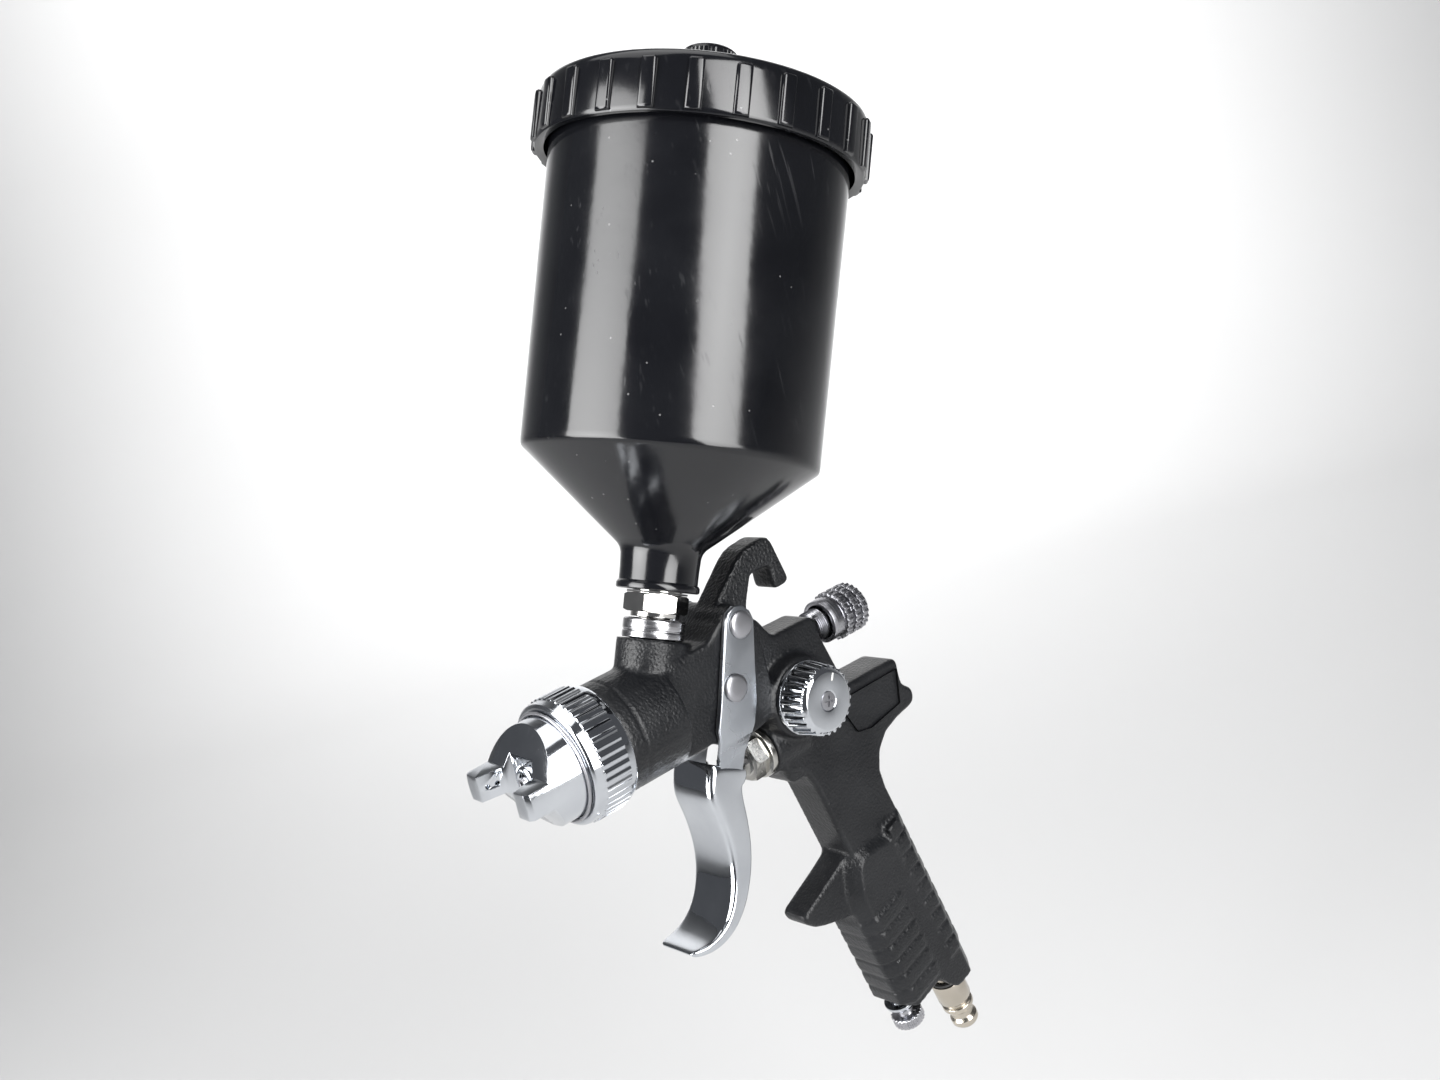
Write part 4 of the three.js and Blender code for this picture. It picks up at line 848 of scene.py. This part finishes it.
# ---- Cup ----
def cup():
    round_piece("port_collar", "gun", ["port_collar"], STEEL_CUP,
                [(5, 12), (6.9, 12), (6.9, 23.4), (9.2, 23.5), (9.4, 23.8), (9.4, 25.4),
                 (9.15, 25.6), (9.15, 26.0), (9.4, 26.2), (9.4, 28.9), (8.9, 29.5), (5, 29.5)], CUP,
                96, True, 0.12)
    piece(hexagon(CUP, 31.2, 36.8, 9.8, 0.7), "cup_fitting_hexagon", "cup", [],
          HEX_NICKEL, 25)
    round_piece("cup_fitting", "cup", ["cup_fitting"], HEX_NICKEL,
                [(3.4, 16), (4.7, 16), (4.7, 29.8), (7.4, 29.8), (7.4, 44.6), (3.4, 44.6)], CUP, 64,
                True, 0.15)
    outer = [(7.8, 37.8), (12.0, 37.8), (12.5, 38.1), (12.6, 38.6), (12.6, 39.5), (12.3, 40.0),
             (11.9, 40.4), (11.95, 44), (12.2, 48.4), (12.6, 49.8), (13.4, 51.0), (14.8, 52.2),
             (24, 59.8), (34, 68.1), (42.9, 75.5), (43.9, 76.3), (44.7, 77.0), (45.0, 77.8),
             (45.1, 79.2), (45.5, 128), (46, 179.6), (45.6, 180), (44.2, 180)]
    inner = [(44, 179.6), (43, 78.6), (42.2, 77.2), (12.6, 53.6), (10, 50.5), (10, 40.7),
             (7.8, 40.7)]
    round_piece("cup_shell", "cup", ["cup_shell"], GLOSS, outer + inner, CUP, 160,
                True, 0)
    bm = spun([(0, 191), (8, 190.9), (17, 190.3), (27, 189.1), (36, 187.5), (43, 185.7),
               (46.4, 184.9), (48.2, 184.4), (49.4, 183.6), (50.0, 182.4), (50.2, 180.8),
               (50.4, 168), (50.3, 167.0), (49.9, 166.5), (48.4, 166.5), (47.3, 166.9),
               (47.3, 181.9), (39.3, 181.9), (34, 185.4), (17.2, 188.1), (0, 188.8)], CUP, 192)
    piece(bm, "cup_lid", "lid", ["cup_lid"], GLOSS, 50)
    side = CUP_AXIS.orthogonal().normalized()
    other = CUP_AXIS.cross(side)
    ribs = bmesh.new()
    for i in range(LID_RIBS):
        angle = 2 * math.pi * (i + 0.42) / LID_RIBS
        out = side * math.cos(angle) + other * math.sin(angle)
        across = CUP_AXIS.cross(out)
        bar(ribs, (49.3, -2.3, 166.9), (51.55, 2.3, 181.6),
            lambda r, t, h: CUP[0] + out * r * MM + across * t * MM + CUP_AXIS * h * MM)
    tops = [e for e in ribs.edges if all(around(CUP, v.co)[0] > 51 for v in e.verts)
            or (abs((e.verts[0].co - e.verts[1].co).normalized().dot(CUP_AXIS)) < 0.1
                and all(around(CUP, v.co)[1] > 180 for v in e.verts))]
    bmesh.ops.bevel(ribs, geom=tops, offset=0.95 * MM, offset_type="OFFSET", segments=4,
                    profile=0.5, affect="EDGES", clamp_overlap=True, material=-1)
    piece(ribs, "lid_ribs", "lid", [], GLOSS, 60)
    knob = [(0, 202.8), (5.5, 202.8), (7.6, 202.7), (8.2, 202.2), (8.4, 201.5), (8.45, 201.3),
            (8.5, 192.2), (8.5, 192.0), (8.5, 191.3), (2.9, 191.3), (2.9, 188.5), (4, 188.3),
            (4, 187), (0, 187)]
    round_piece("lid_vent_knob", "vent", ["lid_vent_knob"], GLOSS, knob, CUP,
                VENT_KNOB_TEETH * 6, False, 0, [(192.1, 201.4, 7.5, VENT_KNOB_TEETH, 0.45, 0.6)])


def dress_cad_nodes():
    looks = {"turned_steel": STEEL_X, "brass": BRASS, "seal": SEALS, "white_plastic": MESH_PLASTIC,
             "chrome": CHROME, "nickel": NICKEL, "cast_black": CASTING, "black_plastic": GLOSS}
    for entry in frame["record"]["subparts"]:
        shown = frame["nodes"][entry["node"]]
        shown.data.materials.clear()
        shown.data.materials.append(looks[entry["material_slot"]])


cast_body()
tail_panel()
air_cap()
nozzle_end()
cap_dome()
cap_wire()
fluid_adjuster()
trigger()
pins()
air_valve()
pattern_knob()
under_grip()
cup()
dress_cad_nodes()


# ---- Stage, lights and camera ----
def flat_material(name, low, high, roughness):
    f = Finish(name, 0.0, 0.2)
    f.shader.inputs["Roughness"].default_value = roughness
    slow = node(f.tree, "ShaderNodeTexNoise", [("Vector", f.place), ("Scale", 3.0)])
    f.tree.links.new(f.colour(slow.outputs["Fac"], low, high), f.shader.inputs["Base Color"])
    return f.material


def studio():
    lowest = CAD_BOX[0].z
    floor = lowest - 0.16
    bm = bmesh.new()
    across = Vector((0.7235, -0.6452, 0)).normalized()
    away = Vector((0.6190, 0.7853, 0)).normalized()
    profile = [(-1.6, 0), (1.1, 0)]
    for i in range(1, 13):
        angle = math.pi / 2 * i / 12
        profile.append((1.1 + 0.7 * math.sin(angle), 0.7 * (1 - math.cos(angle))))
    profile.append((1.8, 3.2))
    verts = [bm.verts.new(away * d + Z * (floor + h) - across * 3.5) for d, h in profile]
    edges = [bm.edges.new(pair) for pair in zip(verts, verts[1:])]
    grown = bmesh.ops.extrude_edge_only(bm, edges=edges)["geom"]
    bmesh.ops.translate(bm, vec=across * 7,
                        verts=[g for g in grown if isinstance(g, bmesh.types.BMVert)])
    for face in bm.faces:
        face.smooth = True
    mesh = bpy.data.meshes.new("studio_floor")
    bm.to_mesh(mesh)
    bm.free()
    mesh.materials.append(flat_material("Pale paper", (0.54, 0.54, 0.54), (0.56, 0.56, 0.56), 0.9))
    made = bpy.data.objects.new("studio_floor", mesh)
    bpy.context.scene.collection.objects.link(made)


def soft_light(name, place, aim, size, watts):
    data = bpy.data.lights.new(name, "AREA")
    data.shape = "RECTANGLE"
    data.size, data.size_y = size
    data.energy = watts
    data.spread = math.radians(110)
    made = bpy.data.objects.new(name, data)
    made.location = place
    made.rotation_euler = (Vector(aim) - Vector(place)).to_track_quat("-Z", "Y").to_euler()
    bpy.context.scene.collection.objects.link(made)


def lights():
    middle = Vector((0, 0, 0.02))
    toward = Vector((-0.6190, -0.7853, 0))

    def around_gun(degrees, distance, height):
        turned = Matrix.Rotation(math.radians(degrees), 3, "Z") @ toward
        return middle + turned * distance + Z * height

    soft_light("Left softbox", around_gun(-62, 1.25, 0.25), middle, (1.0, 1.9), 26)
    soft_light("Right softbox", around_gun(33, 1.3, 0.35), middle, (0.75, 1.9), 19)
    soft_light("Overhead softbox", middle + Vector((0.05, 0.1, 1.5)), middle, (1.6, 1.2), 5)
    soft_light("Backdrop light left", around_gun(-140, 1.2, 1.0), middle - toward * 1.7 + Z * 0.3,
               (1.0, 1.0), 10)
    soft_light("Backdrop light right", around_gun(140, 1.2, 1.0), middle - toward * 1.7 + Z * 0.3,
               (1.0, 1.0), 10)
    world = bpy.data.worlds.new("Studio room")
    world.use_nodes = True
    world.node_tree.nodes["Background"].inputs["Color"].default_value = (0.9, 0.93, 1.0, 1)
    world.node_tree.nodes["Background"].inputs["Strength"].default_value = 0.12
    bpy.context.scene.world = world


def camera():
    data = bpy.data.cameras.new("Studio camera")
    data.sensor_width = 36
    data.lens = 36.87
    data.clip_start = 0.01
    made = bpy.data.objects.new("Studio camera", data)
    view = Vector((0.6020, 0.7637, -0.2332)).normalized()
    up = Vector((0.3380, 0.0209, 0.9409))
    right = view.cross(up).normalized()
    up = right.cross(view)
    made.matrix_world = Matrix.Translation((-0.2833, -0.3484,
                                            0.1193)) @ Matrix((right, up,
                                                               -view)).transposed().to_4x4()
    bpy.context.scene.collection.objects.link(made)
    bpy.context.scene.camera = made


studio()
lights()
camera()
bpy.context.scene.view_settings.view_transform = "Standard"
